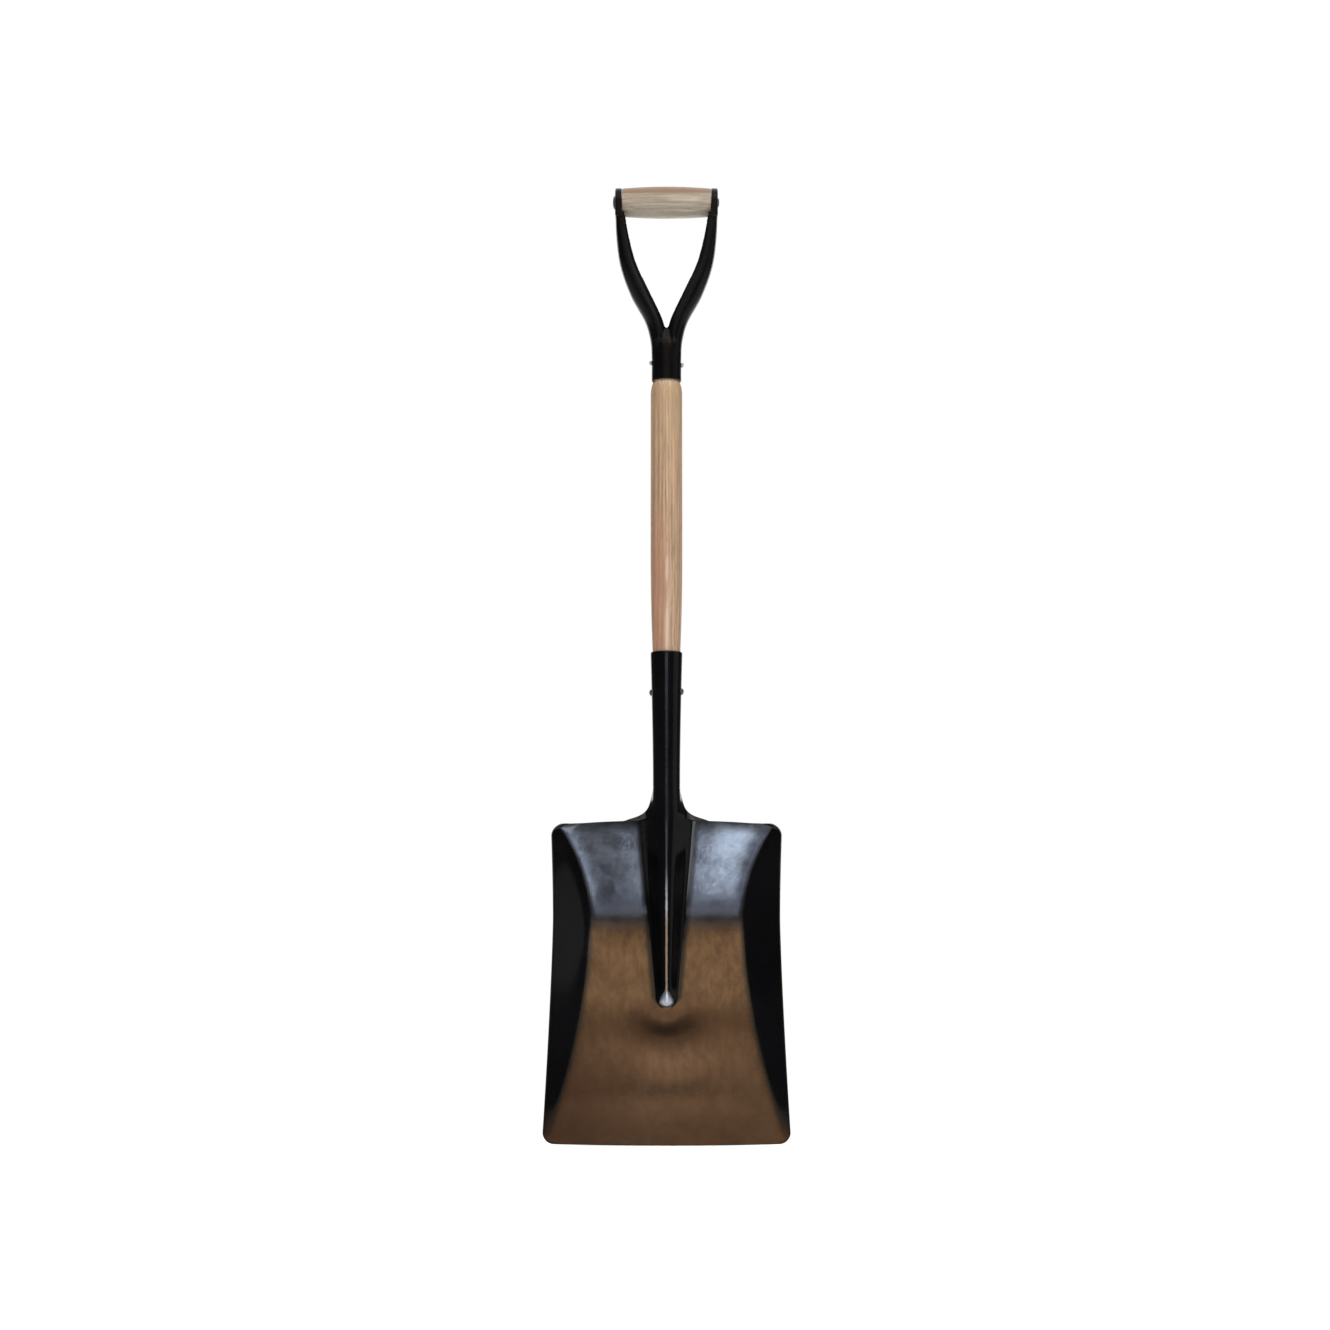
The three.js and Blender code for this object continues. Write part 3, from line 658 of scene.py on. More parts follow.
def oval_ring(outer, inner, half_depth, square, count):
    ring = []
    for i in range(count):
        angle = 2 * math.pi * i / count
        across = math.copysign(abs(math.cos(angle)) ** square, math.cos(angle))
        deep = math.copysign(abs(math.sin(angle)) ** square, math.sin(angle))
        t = (1 + across) / 2
        ring.append((mix(inner.x, outer.x, t), half_depth * deep, mix(inner.y, outer.y, t)))
    return ring


def loft(rings):
    count = len(rings[0])
    verts = [v for ring in rings for v in ring]
    faces = []
    for j in range(len(rings) - 1):
        for i in range(count):
            a = j * count + i
            b = j * count + (i + 1) % count
            faces.append((a, b, b + count, a + count))
    last = (len(rings) - 1) * count
    faces.append(tuple(reversed(range(count))))
    faces.append(tuple(range(last, last + count)))
    return verts, faces


def arm(shrink, opened, side):
    steps = 64
    rings = []
    for i in range(steps + 1):
        t = i / steps
        outer = spline(ARM_OUTER, t)
        inner = spline(ARM_INNER, t)
        along = (outer - inner).normalized()
        outer -= along * shrink
        inner += along * shrink
        depth = mix(ARM_ROOT_DEPTH, ARM_HALF_DEPTH, min(1.0, t * 6)) - shrink
        if opened:
            inner -= along * SLOT_REACH
            depth = min(depth, mix(SLOT_HALF, depth, t**3))
        rings.append(oval_ring(outer, inner, depth, mix(1, 0.55, t * t), 64))
    verts, faces = loft(rings)
    return new_object("arm", [(x * side, y, z) for x, y, z in verts], faces)


def ear(radius, drop, inner_x, outer_x, bevel, side):
    """Round-topped plate from inner_x to outer_x, its outer edge rounded by bevel."""
    layers = [(inner_x, 0.0)]
    steps = 5 if bevel else 0
    for k in range(steps + 1):
        angle = math.pi / 2 * k / max(1, steps)
        layers.append((outer_x - bevel * (1 - math.sin(angle)), bevel * (1 - math.cos(angle))))
    rings = []
    for x, shrink in layers:
        size = radius - shrink
        ring = [(x * side, size, GRIP_Z - drop + shrink)]
        for k in range(33):
            angle = math.pi * k / 32
            ring.append((x * side, size * math.cos(angle), GRIP_Z + size * math.sin(angle)))
        ring.append((x * side, -size, GRIP_Z - drop + shrink))
        rings.append(ring)
    verts, faces = loft(rings)
    return new_object("ear", verts, faces)


def turned(name, profile):
    verts, faces = spin(profile, 96, False)
    return new_object(name, verts, faces)


def bar(radius, half_length, matrix):
    profile = [(0, -half_length), (radius, -half_length), (radius, half_length), (0, half_length)]
    verts, faces = spin(profile, 48, False)
    return new_object("bar", moved(along_x(verts), matrix), faces)


GRIP_PLACE = Matrix.Translation((0, 0, GRIP_Z))
YOKE_RIVET_PLACE = Matrix.Translation((0, 0, YOKE_RIVET_Z)) @ Matrix.Rotation(YOKE_RIVET_SKEW, 4, "Y")
SOCKET_RIVET_PLACE = Matrix.Translation((0, 0, SOCKET_RIVET_Z)) @ Matrix.Rotation(SOCKET_RIVET_TURN, 4, "Z")


def domed_end(radius, foot, height):
    """Quarter-ellipse profile from the wall at foot up to the axis."""
    angles = [math.pi / 2 * i / 24 for i in range(24)]
    curve = [(radius * math.cos(a), foot + height * math.sin(a)) for a in angles]
    return [(radius, foot - 1), *curve, (0, foot + height)]


def yoke_bodies():
    """The closed tube, the solids that are joined to it and those that hollow it."""
    half = YOKE_OD / 2
    bore = half - YOKE_SHEET
    dome_height = DOME_TOP_Z - DOME_FOOT_Z
    bore_foot = YOKE_RIM_Z - 5
    tube = turned("yoke_fine", [
        (0, YOKE_RIM_Z), (half, YOKE_RIM_Z), *domed_end(half, DOME_FOOT_Z, dome_height),
    ])
    tube_bore = turned("bore", [
        (0, bore_foot), (bore, bore_foot),
        *domed_end(bore, DOME_FOOT_Z + YOKE_SHEET, dome_height - 2 * YOKE_SHEET),
    ])
    adds = []
    cuts = [tube_bore]
    dish = (EAR_RADIUS - YOKE_SHEET, DISH_DROP, EAR_RIM_X - 6, EAR_OUTER_X - YOKE_SHEET, 0)
    for side in (1, -1):
        adds.append(arm(0, False, side))
        adds.append(ear(EAR_RADIUS, EAR_DROP, EAR_RIM_X, EAR_OUTER_X, EAR_BEVEL, side))
        cuts.append(arm(YOKE_SHEET, False, side))
        cuts.append(arm(YOKE_SHEET, True, side))
        cuts.append(ear(*dish, side))
    cuts.append(bar(ROD_RADIUS + SEAT_GAP, 70, GRIP_PLACE))
    cuts.append(bar(SMALL_SHANK + SEAT_GAP, 30, YOKE_RIVET_PLACE))
    return tube, adds, cuts


def smooth(obj, steps, group=""):
    """Relaxes the mesh, or one vertex group of it, and applies every modifier it has."""
    relax = obj.modifiers.new("relax", "SMOOTH")
    relax.factor = 0.5
    relax.iterations = steps
    relax.vertex_group = group
    apply_modifiers(obj)


def build_yoke():
    """The pressing as one skin, its bends relaxed and the root of its arms melted into the tube."""
    yoke, adds, cuts = yoke_bodies()
    combine(yoke, adds, "UNION")
    combine(yoke, cuts, "DIFFERENCE")
    remesh = yoke.modifiers.new("remesh", "REMESH")
    remesh.mode = "VOXEL"
    remesh.voxel_size = YOKE_VOXEL * MM
    smooth(yoke, RELAX_STEPS)
    root = yoke.vertex_groups.new(name="root")
    for vertex in yoke.data.vertices:
        z = (vertex.co.z - ORIGIN.z) / MM
        weight = smoothstep(z, *MELT_RISE) * (1 - smoothstep(z, *MELT_FALL))
        root.add([vertex.index], weight, "REPLACE")
    smooth(yoke, MELT_STEPS, "root")
    yoke.vertex_groups.clear()
    yoke.data.shade_smooth()
    return yoke


# ---------------------------------------------------------------- turned wood and rivets
def tenon_radius(z):
    """The shaft's radius inside the rolled socket."""
    return socket_radius(z) - SHEET / 2 - TENON_FIT


def build_shaft():
    tenon = YOKE_OD / 2 - YOKE_SHEET - TENON_FIT
    full = SHAFT_OD / 2
    necking_z = YOKE_RIM_Z - NECKING
    profile = [(0, SHAFT_FOOT_Z), (tenon_radius(SHAFT_FOOT_Z) - 2, SHAFT_FOOT_Z)]
    for i in range(13):
        z = mix(SHAFT_FOOT_Z + 3, SOCKET_TOP, i / 12)
        profile.append((tenon_radius(z), z))
    low = tenon_radius(SOCKET_TOP)
    for i in range(1, 25):
        t = i / 24
        swell = 1 - (1 - t) ** SWELL_CURVE
        profile.append((mix(low, full, swell), mix(SOCKET_TOP, SHAFT_FULL_Z, t)))
    for i in range(1, 12):
        profile.append((full, mix(SHAFT_FULL_Z, necking_z, i / 11)))
    for i in range(1, 13):
        t = i / 12
        profile.append((mix(full, tenon + 0.4, t**NECKING_CURVE), mix(necking_z, YOKE_RIM_Z - 0.6, t)))
    profile += [(tenon, YOKE_RIM_Z), (tenon, SHAFT_HEAD_Z - 2)]
    profile += [(tenon - 2, SHAFT_HEAD_Z), (0, SHAFT_HEAD_Z)]
    return turned("ash_shaft", profile)


def grip_corner(i):
    """(radius, distance from the grip's end) of step i of 6 round its corner, from the face inwards."""
    angle = math.pi / 2 * i / 6
    out = (1 - math.sin(angle)) * GRIP_EDGE
    return GRIP_END_RADIUS - 0.1 - out, GRIP_EDGE * (1 - math.cos(angle))


def build_grip():
    profile = [(BORE_RADIUS, -GRIP_HALF)]
    steps = 48
    for radius, inset in map(grip_corner, range(7)):
        profile.append((radius, -GRIP_HALF + inset))
    for i in range(1, steps):
        along = mix(-GRIP_HALF + GRIP_EDGE, GRIP_HALF - GRIP_EDGE, i / steps)
        profile.append((mix(GRIP_END_RADIUS, GRIP_RADIUS, 1 - (along / GRIP_HALF) ** 2), along))
    for radius, inset in map(grip_corner, reversed(range(7))):
        profile.append((radius, GRIP_HALF - inset))
    profile.append((BORE_RADIUS, GRIP_HALF))
    verts, faces = spin(profile, 96, True)
    return new_object("ash_grip", moved(along_x(verts), GRIP_PLACE), faces)


def rivet_head(radius, height):
    """Profile of a hammered dome, from its rim to the axis."""
    points = [(radius * 0.96, 0.0)]
    for i in range(1, 12):
        angle = math.pi / 2 * i / 12
        points.append((radius * math.cos(angle) ** 0.75, height * math.sin(angle) ** 1.2))
    points.append((0.0, height))
    return points


def build_rivet(name, shank, seat, left, right, place):
    """A shank with a head of (radius, height) at each end."""
    profile = [(r, -seat - out) for r, out in reversed(rivet_head(*left))]
    profile += [(shank, -seat), (shank, seat)]
    profile += [(r, seat + out) for r, out in rivet_head(*right)]
    verts, faces = spin(profile, 48, False)
    return new_object(name, moved(along_x(verts), place), faces)


# ---------------------------------------------------------------- materials
class Nodes:
    """Small helper that adds nodes to a material and links them."""

    def __init__(self, name):
        self.material = bpy.data.materials.new(name)
        self.material.use_nodes = True
        self.tree = self.material.node_tree
        self.shader = self.tree.nodes["Principled BSDF"]
        self.place = self.add("ShaderNodeTexCoord").outputs["Object"]

    def add(self, kind, **settings):
        node = self.tree.nodes.new(kind)
        for key, value in settings.items():
            setattr(node, key, value)
        return node

    def link(self, source, target):
        self.tree.links.new(source, target)

    def feed(self, socket, value):
        if hasattr(value, "is_output"):
            self.link(value, socket)
        else:
            socket.default_value = value

    def math(self, operation, a, b=0.0, c=0.0):
        node = self.add("ShaderNodeMath", operation=operation)
        for socket, value in zip(node.inputs, (a, b, c)):
            self.feed(socket, value)
        return node.outputs[0]

    def times(self, a, b):
        return self.math("MULTIPLY", a, b)

    def apart(self, a, b):
        return self.math("ABSOLUTE", self.math("SUBTRACT", a, b))

    def length(self, a, b):
        return self.math("SQRT", self.math("ADD", self.math("POWER", a, 2.0), self.math("POWER", b, 2.0)))

    def drift(self, noise, reach):
        """A wandering offset of up to half of reach (mm) either way."""
        return self.times(self.math("SUBTRACT", noise, 0.5), reach * MM)

    def stretched(self, scale):
        node = self.add("ShaderNodeMapping")
        self.link(self.place, node.inputs["Vector"])
        node.inputs["Scale"].default_value = scale
        return node.outputs[0]

    def noise(self, scale, detail=3.0, roughness=0.5, vector=None, distortion=0.0):
        node = self.add("ShaderNodeTexNoise")
        self.link(vector or self.place, node.inputs["Vector"])
        node.inputs["Scale"].default_value = scale
        node.inputs["Detail"].default_value = detail
        node.inputs["Roughness"].default_value = roughness
        node.inputs["Distortion"].default_value = distortion
        return node.outputs["Fac"]

    def ramp(self, value, low, high, to_low=0.0, to_high=1.0):
        node = self.add("ShaderNodeMapRange", interpolation_type="SMOOTHSTEP")
        self.feed(node.inputs["Value"], value)
        node.inputs["From Min"].default_value = low
        node.inputs["From Max"].default_value = high
        node.inputs["To Min"].default_value = to_low
        node.inputs["To Max"].default_value = to_high
        return node.outputs[0]

    def over(self, value, span, to_low=0.0, to_high=1.0):
        """A ramp over a span in millimetres."""
        low, high = span
        return self.ramp(value, low * MM, high * MM, to_low, to_high)

    def blend(self, factor, a, b, mode="MIX"):
        node = self.add("ShaderNodeMix", data_type="RGBA", blend_type=mode)
        self.feed(node.inputs[0], factor)
        for socket, colour in ((node.inputs[6], a), (node.inputs[7], b)):
            self.feed(socket, colour if hasattr(colour, "is_output") else (*colour, 1.0))
        return node.outputs[2]

    def bump(self, height, strength, distance, under=None):
        node = self.add("ShaderNodeBump")
        self.link(height, node.inputs["Height"])
        node.inputs["Strength"].default_value = strength
        node.inputs["Distance"].default_value = distance
        if under:
            self.link(under, node.inputs["Normal"])
        return node.outputs[0]

    def split(self, vector):
        node = self.add("ShaderNodeSeparateXYZ")
        self.link(vector, node.inputs[0])
        return node.outputs

    def set(self, **values):
        for key, value in values.items():
            self.feed(self.shader.inputs[key.replace("_", " ")], value)
        return self.material


def black_lacquer(n, gloss):
    """Base colour, roughness, skin and mottling shared by both lacquered pressings."""
    broad = n.noise(9.0, 4.0, 0.55)
    mottled = n.noise(60.0, 5.0, 0.6)
    black = n.blend(n.ramp(broad, 0.35, 0.7), BLACK_DEEP, BLACK_THIN)
    skin = n.bump(n.noise(190.0, 1.5, 0.5), 0.08, 0.0004)
    return black, n.ramp(mottled, 0.3, 0.7, gloss, gloss + 0.06), skin, mottled


def handle_lacquer():
    n = Nodes("handle_lacquer")
    black, rough, skin, _ = black_lacquer(n, 0.22)
    return n.set(Base_Color=black, Roughness=rough, Normal=skin, Specular_IOR_Level=0.09)


def off_rib(n, side, z):
    """0 on the rib, its nose and the painted shade in its foot fillets, 1 on the pan beside them."""
    nose_top = (RIB_END_Z + RIB_NOSE) * MM
    flare = n.math("MAXIMUM", n.math("SUBTRACT", z, nose_top), 0.0)
    half = n.math("MULTIPLY_ADD", flare, RIB_SHADE_FLARE, RIB_SHADE_HALF * MM)
    across = n.math("DIVIDE", side, half)
    past = n.math("DIVIDE", n.math("MAXIMUM", n.math("SUBTRACT", nose_top, z), 0.0), RIB_NOSE * MM)
    return n.ramp(n.length(across, past), 0.84, 1.16)


def pan_front(n, side, z, lean, front):
    """1 on the flat of the pan's front, 0 on its sides, the rib, the top rim and the back."""
    flat = n.ramp(n.math("ABSOLUTE", lean), 0.06, 0.26, 1.0, 0.0)
    flat = n.times(flat, n.ramp(front, -0.5, -0.3, 1.0, 0.0))
    flat = n.times(flat, n.over(z, COAT_END_Z, 1.0, 0.0))
    return n.times(flat, off_rib(n, side, z))


def painted_nose_highlight(n, side, z):
    """1 where a highlight is painted on the rib's nose, a drop shape with its point up."""
    up = n.math("DIVIDE", n.math("SUBTRACT", z, RIB_END_Z * MM), NOSE_HIGHLIGHT_LENGTH * MM)
    up = n.math("MINIMUM", n.math("MAXIMUM", up, 0.0), 1.0)
    point = n.math("POWER", n.math("SUBTRACT", 1.0, up), 1.6)
    half = n.times(n.times(n.math("POWER", up, 0.5), point), NOSE_HIGHLIGHT_WIDTH * MM)
    ragged = n.drift(n.noise(500.0, 3.0, 0.6), 3.0)
    inside = n.math("SUBTRACT", half, n.math("ADD", side, ragged))
    return n.times(n.over(inside, (-1.0, 4.0)), n.over(half, (0.0, 2.0), 0.0, 0.95))


def press_hollow(n, x, z):
    """1 in the crescent under the rib's nose, where the press drew the sheet in and shade is painted."""
    down = n.math("SUBTRACT", RIB_END_Z * MM, z)
    away = n.length(x, down)
    ring = n.times(n.over(away, HOLLOW_RISE), n.over(away, HOLLOW_FALL, 1.0, 0.0))
    return n.times(ring, n.ramp(n.math("DIVIDE", down, away), 0.15, 0.95))


def painted_crest_highlight(n, side, z):
    """Mask and colour of the painted highlight line along the rib's crest: brown below the crease, bright
    above it.
    """
    ragged = n.drift(n.noise(300.0, 3.0, 0.6), 1.4)
    width = n.over(n.math("ADD", side, ragged), CREST_HALF, 0.9, 0.0)
    length = n.times(n.over(z, CREST_RISE_Z), n.over(z, CREST_FALL_Z, 1.0, 0.0))
    return n.times(width, length), n.blend(n.over(z, CREST_COLOUR_Z), CREST_HIGHLIGHT_BROWN, CREST_HIGHLIGHT_BRIGHT)


def bronze_and_reflection(n, x, z, wobble):
    """Streaked brown coat, partly its own tint and partly a painted warm reflection, darker to the tip, in
    clouds and at the left corner, with painted shade under the nose and in the press hollow.
    """
    streaks = n.noise(150.0, 4.0, 0.6, n.stretched((1, 1, 0.25)))
    bronze = n.blend(n.ramp(streaks, 0.25, 0.75), BRONZE_DARK, BRONZE_LIGHT)
    bronze = n.blend(n.over(z, TIP_SHADE_Z, 0.9, 0.0), bronze, BRONZE_TIP)
    from_nose = n.apart(n.math("ADD", z, wobble), NOSE_SHADE_Z * MM)
    bronze = n.blend(n.over(from_nose, (0.0, NOSE_SHADE_HALF), 0.6, 0.0), bronze, BRONZE_NOSE_SHADE)
    clouds = n.ramp(n.noise(20.0, 4.0, 0.6), 0.4, 0.65, 0.0, 0.45)
    bronze = n.blend(clouds, bronze, BRONZE_CLOUDS)
    hollow = press_hollow(n, x, n.math("ADD", z, n.times(wobble, 0.4)))
    # Painted shade in the press hollow.
    bronze = n.blend(n.times(hollow, 0.6), bronze, BRONZE_HOLLOW_SHADE)
    corner = n.times(n.over(x, DULL_CORNER_X, 0.6, 0.0), n.over(z, DULL_CORNER_Z, 1.0, 0.0))
    return n.blend(corner, bronze, BRONZE_CORNER)


def pan_tint_and_reflection(n, x, z, mottled):
    """Steel grey above the crease and bronze below it, partly the coat's tint and partly painted
    reflections, with a painted shade along the crease.
    """
    wobble = n.drift(n.noise(14.0, 4.0, 0.55), 22.0)
    low = n.over(n.math("ADD", z, wobble), STEEL_TO_BRONZE_Z, 1.0, 0.0)
    steel = n.blend(n.ramp(mottled, 0.3, 0.7), STEEL_DARK, STEEL_LIGHT)
    tint = n.blend(low, steel, bronze_and_reflection(n, x, z, wobble))
    from_crease = n.apart(n.math("ADD", z, n.times(wobble, 0.3)), CREASE_SHADE_Z * MM)
    return n.blend(n.over(from_crease, (0.0, CREASE_SHADE_HALF), 0.74, 0.0), tint, CREASE_SHADE)


def hammered_skin(n, z, flat, skin):
    """The forged pan's fine relief, added to the lacquer's own skin."""
    hammered = n.noise(290.0, 5.0, 0.68, n.stretched((1, 1, 0.5)), 0.8)
    peel = n.times(hammered, n.over(z, HAMMERED_Z, 0.6, 1.0))
    grainy = n.noise(70.0, 3.0, 0.5)
    texture = n.times(n.math("ADD", peel, n.times(grainy, 0.4)), flat)
    return n.bump(texture, 0.13, 0.0008, skin)


def blade_lacquer():
    """Black lacquer with a thin tinted coat on the pan that is partly painted reflections, a painted
    highlight along the rib's crest and one on its nose.
    """
    n = Nodes("blade_lacquer")
    black, rough, skin, mottled = black_lacquer(n, 0.10)
    x, _, z = n.split(n.place)
    lean, front, _ = n.split(n.add("ShaderNodeNewGeometry").outputs["True Normal"])
    side = n.math("ABSOLUTE", x)
    flat = pan_front(n, side, z, lean, front)
    amount = n.times(flat, n.ramp(mottled, 0.25, 0.6, 0.85, 1.0))
    colour = n.blend(amount, black, pan_tint_and_reflection(n, x, z, mottled))
    faces_front = n.ramp(front, -0.1, 0.1, 1.0, 0.0)
    # Painted highlight line along the rib's crest.
    crest, crest_colour = painted_crest_highlight(n, side, z)
    colour = n.blend(n.times(crest, faces_front), colour, crest_colour)
    # Painted highlight on the rib's nose.
    nose_highlight = n.times(painted_nose_highlight(n, side, z), faces_front)
    colour = n.blend(nose_highlight, colour, NOSE_HIGHLIGHT_STEEL)
    metal = n.math("MAXIMUM", n.times(amount, 0.85), nose_highlight)
    rough = n.math("ADD", rough, n.times(nose_highlight, 0.2))
    rough = n.math("ADD", rough, n.times(flat, 0.05))
    relief = hammered_skin(n, z, flat, skin)
    return n.set(Base_Color=colour, Metallic=metal, Specular_IOR_Level=0.17, Roughness=rough, Normal=relief)


def ash(name, axis, pith, light, dark):
    """Ash cut beside its pith (m, across the axis): growth rings, open pores and streaks along the axis."""
    n = Nodes(name)
    along = n.stretched((0.04, 1, 1) if axis == "X" else (1, 1, 0.04))
    warp = n.noise(22.0, 2.0, 0.5, along)
    across = [c for c, label in zip(n.split(n.place), "XYZ") if label != axis]
    offsets = [n.math("SUBTRACT", c, p) for c, p in zip(across, pith)]
    squares = [n.times(o, o) for o in offsets]
    radius = n.math("SQRT", n.math("ADD", *squares))
    radius = n.math("ADD", radius, n.times(warp, 0.012))
    ring = n.math("FRACT", n.math("DIVIDE", radius, RING_WIDTH * MM))
    late = n.math("POWER", ring, 2.2)
    fibre = n.noise(900.0, 3.0, 0.6, along)
    pores = n.ramp(n.noise(1700.0, 1.0, 0.5, along), 0.56, 0.72)
    tone = n.math("ADD", n.times(late, 0.65), n.times(n.ramp(fibre, 0.4, 0.7), 0.45))
    colour = n.blend(tone, light, dark)
    colour = n.blend(n.times(pores, 0.5), colour, [c * 0.55 for c in dark])
    streaks = n.ramp(n.noise(330.0, 2.0, 0.5, along), 0.3, 0.7, 0.82, 1.12)
    colour = n.blend(1.0, colour, streaks, "MULTIPLY")
    return n, colour, along, fibre


def finish_wood(n, colour, fibre):
    """The clear coat over the wood."""
    rough = n.ramp(fibre, 0.35, 0.7, 0.40, 0.55)
    skin = n.bump(fibre, 0.12, 0.0002)
    return n.set(Base_Color=colour, Roughness=rough, Normal=skin, Coat_Weight=0.12, Coat_Roughness=0.28)


def shaft_wood():
    """Ash, rosy at the lower left, golden at the top, with painted shade at both sides and a painted
    highlight streak.
    """
    n, colour, along, fibre = ash("shaft_ash", "Z", (0.075, 0.03), SHAFT_LIGHT, SHAFT_DARK)
    x, _, z = n.split(n.place)
    drift = n.drift(n.noise(9.0, 3.0, 0.5, along), 30.0)
    left = n.over(n.math("ADD", x, drift), ROSY_X, 1.0, 0.0)
    low = n.over(n.math("ADD", z, n.times(drift, 3.0)), ROSY_Z, 1.0, 0.0)
    colour = n.blend(n.times(n.times(left, low), 0.55), colour, SHAFT_ROSY)
    colour = n.blend(n.times(n.over(z, GOLD_Z), 0.35), colour, SHAFT_GOLD)
    # Painted shade at both sides.
    colour = n.blend(n.over(n.math("ABSOLUTE", x), SHAFT_SHADE_X, 0.0, 0.32), colour, SHAFT_EDGE_SHADE)
    # Painted highlight streak down the front.
    wander = n.drift(n.noise(30.0, 3.0, 0.6, along), 12.0)
    beside = n.math("ABSOLUTE", n.math("ADD", x, wander))
    broken = n.ramp(n.noise(45.0, 3.0, 0.6, n.stretched((1, 1, 0.35))), 0.40, 0.60)
    painted_highlight = n.times(n.over(beside, HIGHLIGHT_STREAK_HALF, 1.0, 0.0), n.over(z, HIGHLIGHT_STREAK_Z, 0.5, 0.0))
    colour = n.blend(n.times(painted_highlight, broken), colour, SHAFT_HIGHLIGHT)
    return finish_wood(n, colour, fibre)


def grip_wood():
    """Greyer ash with painted warm light along its top and a painted highlight streak on its front."""
    n, colour, along, fibre = ash("grip_ash", "X", (0.06, 1.09), GRIP_LIGHT, GRIP_DARK)
    x, _, z = n.split(n.place)
    height = n.math("ADD", z, n.drift(n.noise(26.0, 2.0, 0.5, along), 22.0))
    # Painted warm light along the top.
    colour = n.blend(n.times(n.over(height, GRIP_WARM_LIGHT_Z), 0.92), colour, GRIP_TOP_WARM_LIGHT)
    beside = n.apart(height, SHEEN_Z * MM)
    sheen = n.times(n.over(beside, (0.0, SHEEN_HALF), 0.35, 0.0), n.over(x, SHEEN_RISE_X))
    sheen = n.times(sheen, n.over(x, SHEEN_FALL_X, 1.0, 0.0))
    colour = n.blend(sheen, colour, GRIP_SHEEN)
    return finish_wood(n, colour, fibre)


def rivet_steel(name, colours, rough):
    n = Nodes(name)
    light, dark = colours
    scuffs = n.noise(500.0, 4.0, 0.6)
    patches = n.noise(160.0, 3.0, 0.5)
    colour = n.blend(n.ramp(patches, 0.35, 0.7), dark, light)
    skin = n.bump(scuffs, 0.3, 0.0004)
    skin = n.bump(patches, 0.4, 0.0008, skin)
    worn = n.ramp(scuffs, 0.3, 0.7, rough, rough + 0.15)
    return n.set(Base_Color=colour, Metallic=0.85, Roughness=worn, Normal=skin)


# ---------------------------------------------------------------- pieces
dark_steel = rivet_steel("dark_steel", DARK_STEEL, 0.35)
grey_steel = rivet_steel("grey_steel", GREY_STEEL, 0.3)

head = new_object("pressed_head", *rounded_sheet(head_rows(), SHEET, RIM_INSET))
finish_piece(head, "shovel_head", "frame", blade_lacquer())
finish_piece(build_yoke(), "handle_yoke", "frame", handle_lacquer())
finish_piece(build_shaft(), "shaft", "frame", shaft_wood())
finish_piece(build_grip(), "grip", "turning_grip", grip_wood())
grip_rod = build_rivet(
    "grip_rod", ROD_RADIUS, EAR_OUTER_X + SEAT_GAP, GRIP_RIVET_HEAD, GRIP_RIVET_PEEN, GRIP_PLACE
)
finish_piece(grip_rod, "grip_rivet", "frame", dark_steel)
yoke_seat = YOKE_OD / 2 + SEAT_GAP
yoke_pin = build_rivet(
    "yoke_pin", SMALL_SHANK, yoke_seat, YOKE_RIVET_HEAD, YOKE_RIVET_HEAD, YOKE_RIVET_PLACE
)
finish_piece(yoke_pin, "yoke_rivet", "frame", grey_steel)
socket_seat = socket_radius(SOCKET_RIVET_Z) + SHEET / 2 + SEAT_GAP
socket_pin = build_rivet(
    "socket_pin", SMALL_SHANK, socket_seat, SOCKET_RIVET_HEAD, SOCKET_RIVET_HEAD, SOCKET_RIVET_PLACE
)
finish_piece(socket_pin, "socket_rivet", "frame", dark_steel)


# ---------------------------------------------------------------- camera, floor and light
def aimed(obj, place, target):
    obj.location = place
    obj.rotation_euler = (Vector(target) - Vector(place)).to_track_quat("-Z", "Y").to_euler()


def add_camera():
    data = bpy.data.cameras.new("camera")
    data.lens = LENS
    data.sensor_width = 36.0
    data.clip_end = 50.0
    camera = bpy.data.objects.new("camera", data)
    bpy.context.scene.collection.objects.link(camera)
    target = Vector((AIM_X, ORIGIN.y, AIM_Z))
    back = Vector((0, -math.cos(CAMERA_TILT), math.sin(CAMERA_TILT)))
    place = target + CAMERA_DISTANCE * back
    aimed(camera, place, target)
    bpy.context.scene.camera = camera


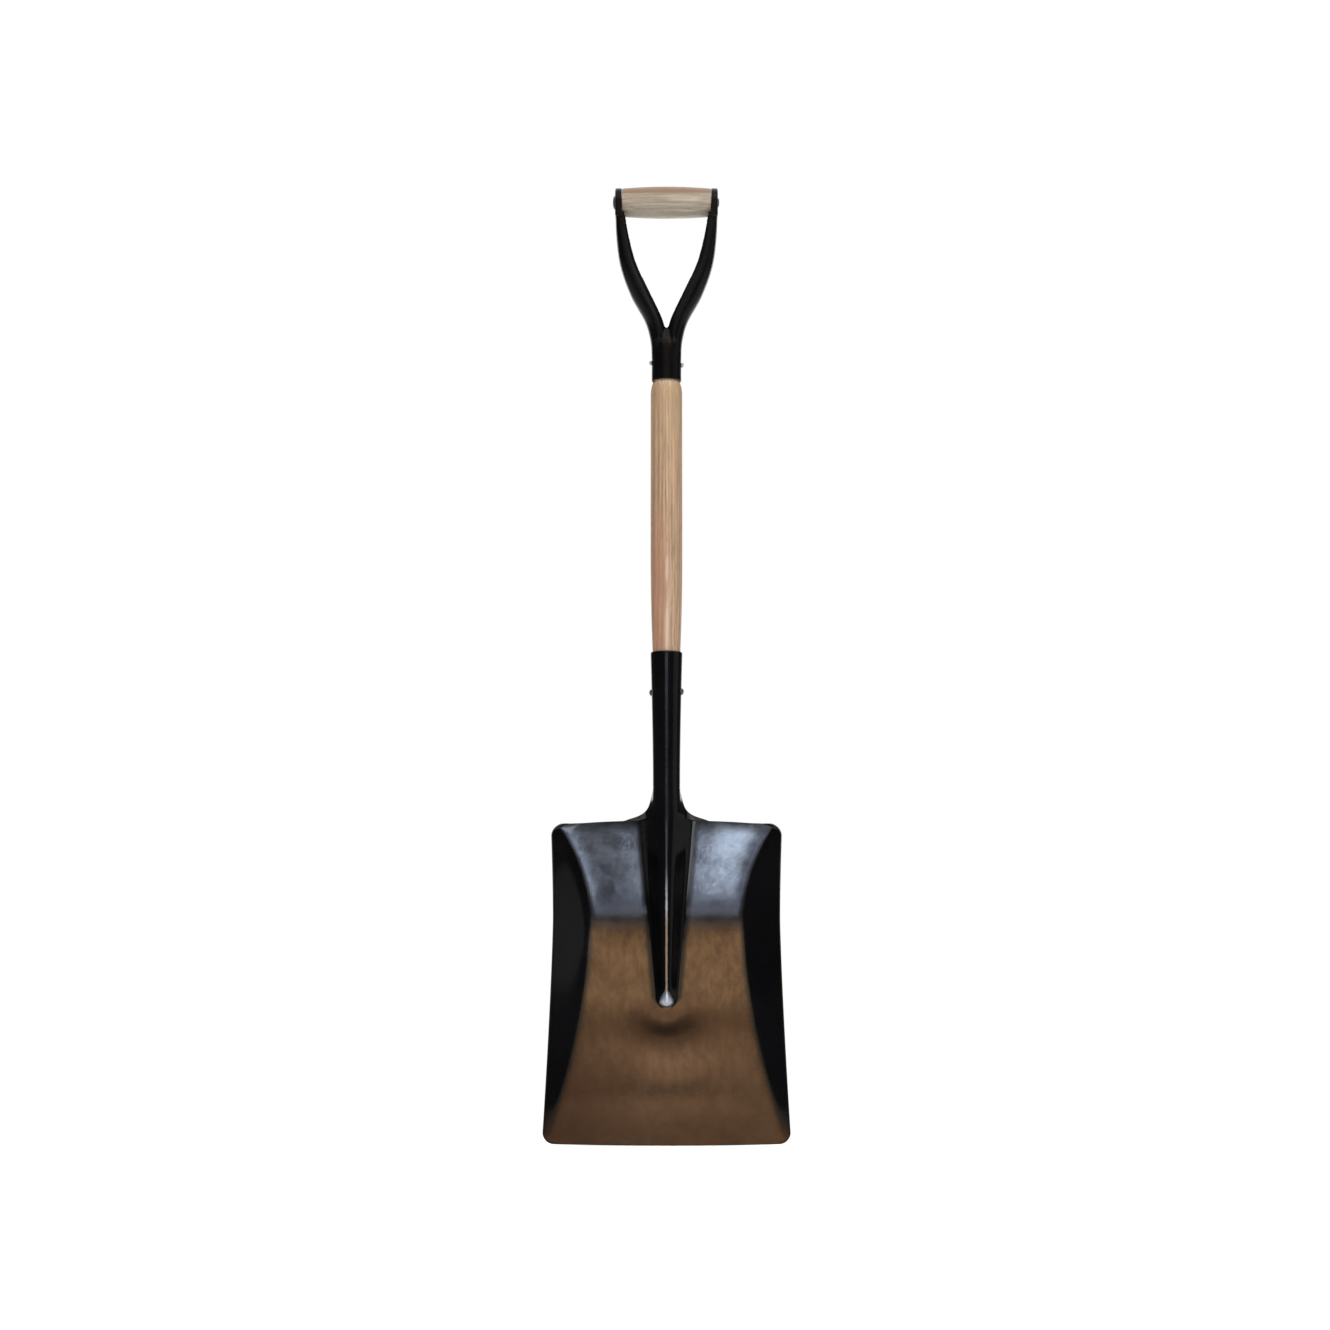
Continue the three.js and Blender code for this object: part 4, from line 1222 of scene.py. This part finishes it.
def add_floor():
    mesh = bpy.data.meshes.new("floor")
    turns = ((-1, -1), (1, -1), (1, 1), (-1, 1))
    corners = [(x * FLOOR_REACH, y * FLOOR_REACH, 0) for x, y in turns]
    mesh.from_pydata(corners, [], [(0, 1, 2, 3)])
    floor = bpy.data.objects.new("floor", mesh)
    bpy.context.scene.collection.objects.link(floor)
    n = Nodes("floor_paint")
    mesh.materials.append(n.set(Base_Color=(*FLOOR_PAINT, 1.0), Roughness=0.8))


def add_soft_light(name, place, target, size, brightness, colour):
    """A rectangular softbox whose face is equally bright whatever its size."""
    data = bpy.data.lights.new(name, "AREA")
    data.shape = "RECTANGLE"
    data.size, data.size_y = size
    data.energy = math.pi * size[0] * size[1] * brightness
    data.color = colour
    light = bpy.data.objects.new(name, data)
    bpy.context.scene.collection.objects.link(light)
    aimed(light, place, target)


def add_sky():
    """Very soft light from straight above that reaches the whole floor."""
    data = bpy.data.lights.new("sky", "SUN")
    data.angle = SKY_SPREAD
    data.energy = SKY
    bpy.context.scene.collection.objects.link(bpy.data.objects.new("sky", data))


def add_world():
    """The camera sees a white sweep. Reflections see dim walls, so that the lacquer stays black."""
    world = bpy.data.worlds.new("studio")
    bpy.context.scene.world = world
    world.use_nodes = True
    tree = world.node_tree
    walls = tree.nodes["Background"]
    walls.inputs["Color"].default_value = (0.92, 0.96, 1.0, 1.0)
    walls.inputs["Strength"].default_value = WALLS
    sweep = tree.nodes.new("ShaderNodeBackground")
    sweep.inputs["Color"].default_value = (1.0, 1.0, 1.0, 1.0)
    sweep.inputs["Strength"].default_value = SWEEP
    path = tree.nodes.new("ShaderNodeLightPath")
    either = tree.nodes.new("ShaderNodeMixShader")
    tree.links.new(path.outputs["Is Camera Ray"], either.inputs[0])
    tree.links.new(walls.outputs[0], either.inputs[1])
    tree.links.new(sweep.outputs[0], either.inputs[2])
    tree.links.new(either.outputs[0], tree.nodes["World Output"].inputs["Surface"])


add_camera()
add_floor()
add_world()
bpy.context.scene.view_settings.view_transform = "Standard"
for soft_light in SOFT_LIGHTS:
    add_soft_light(*soft_light)
add_sky()
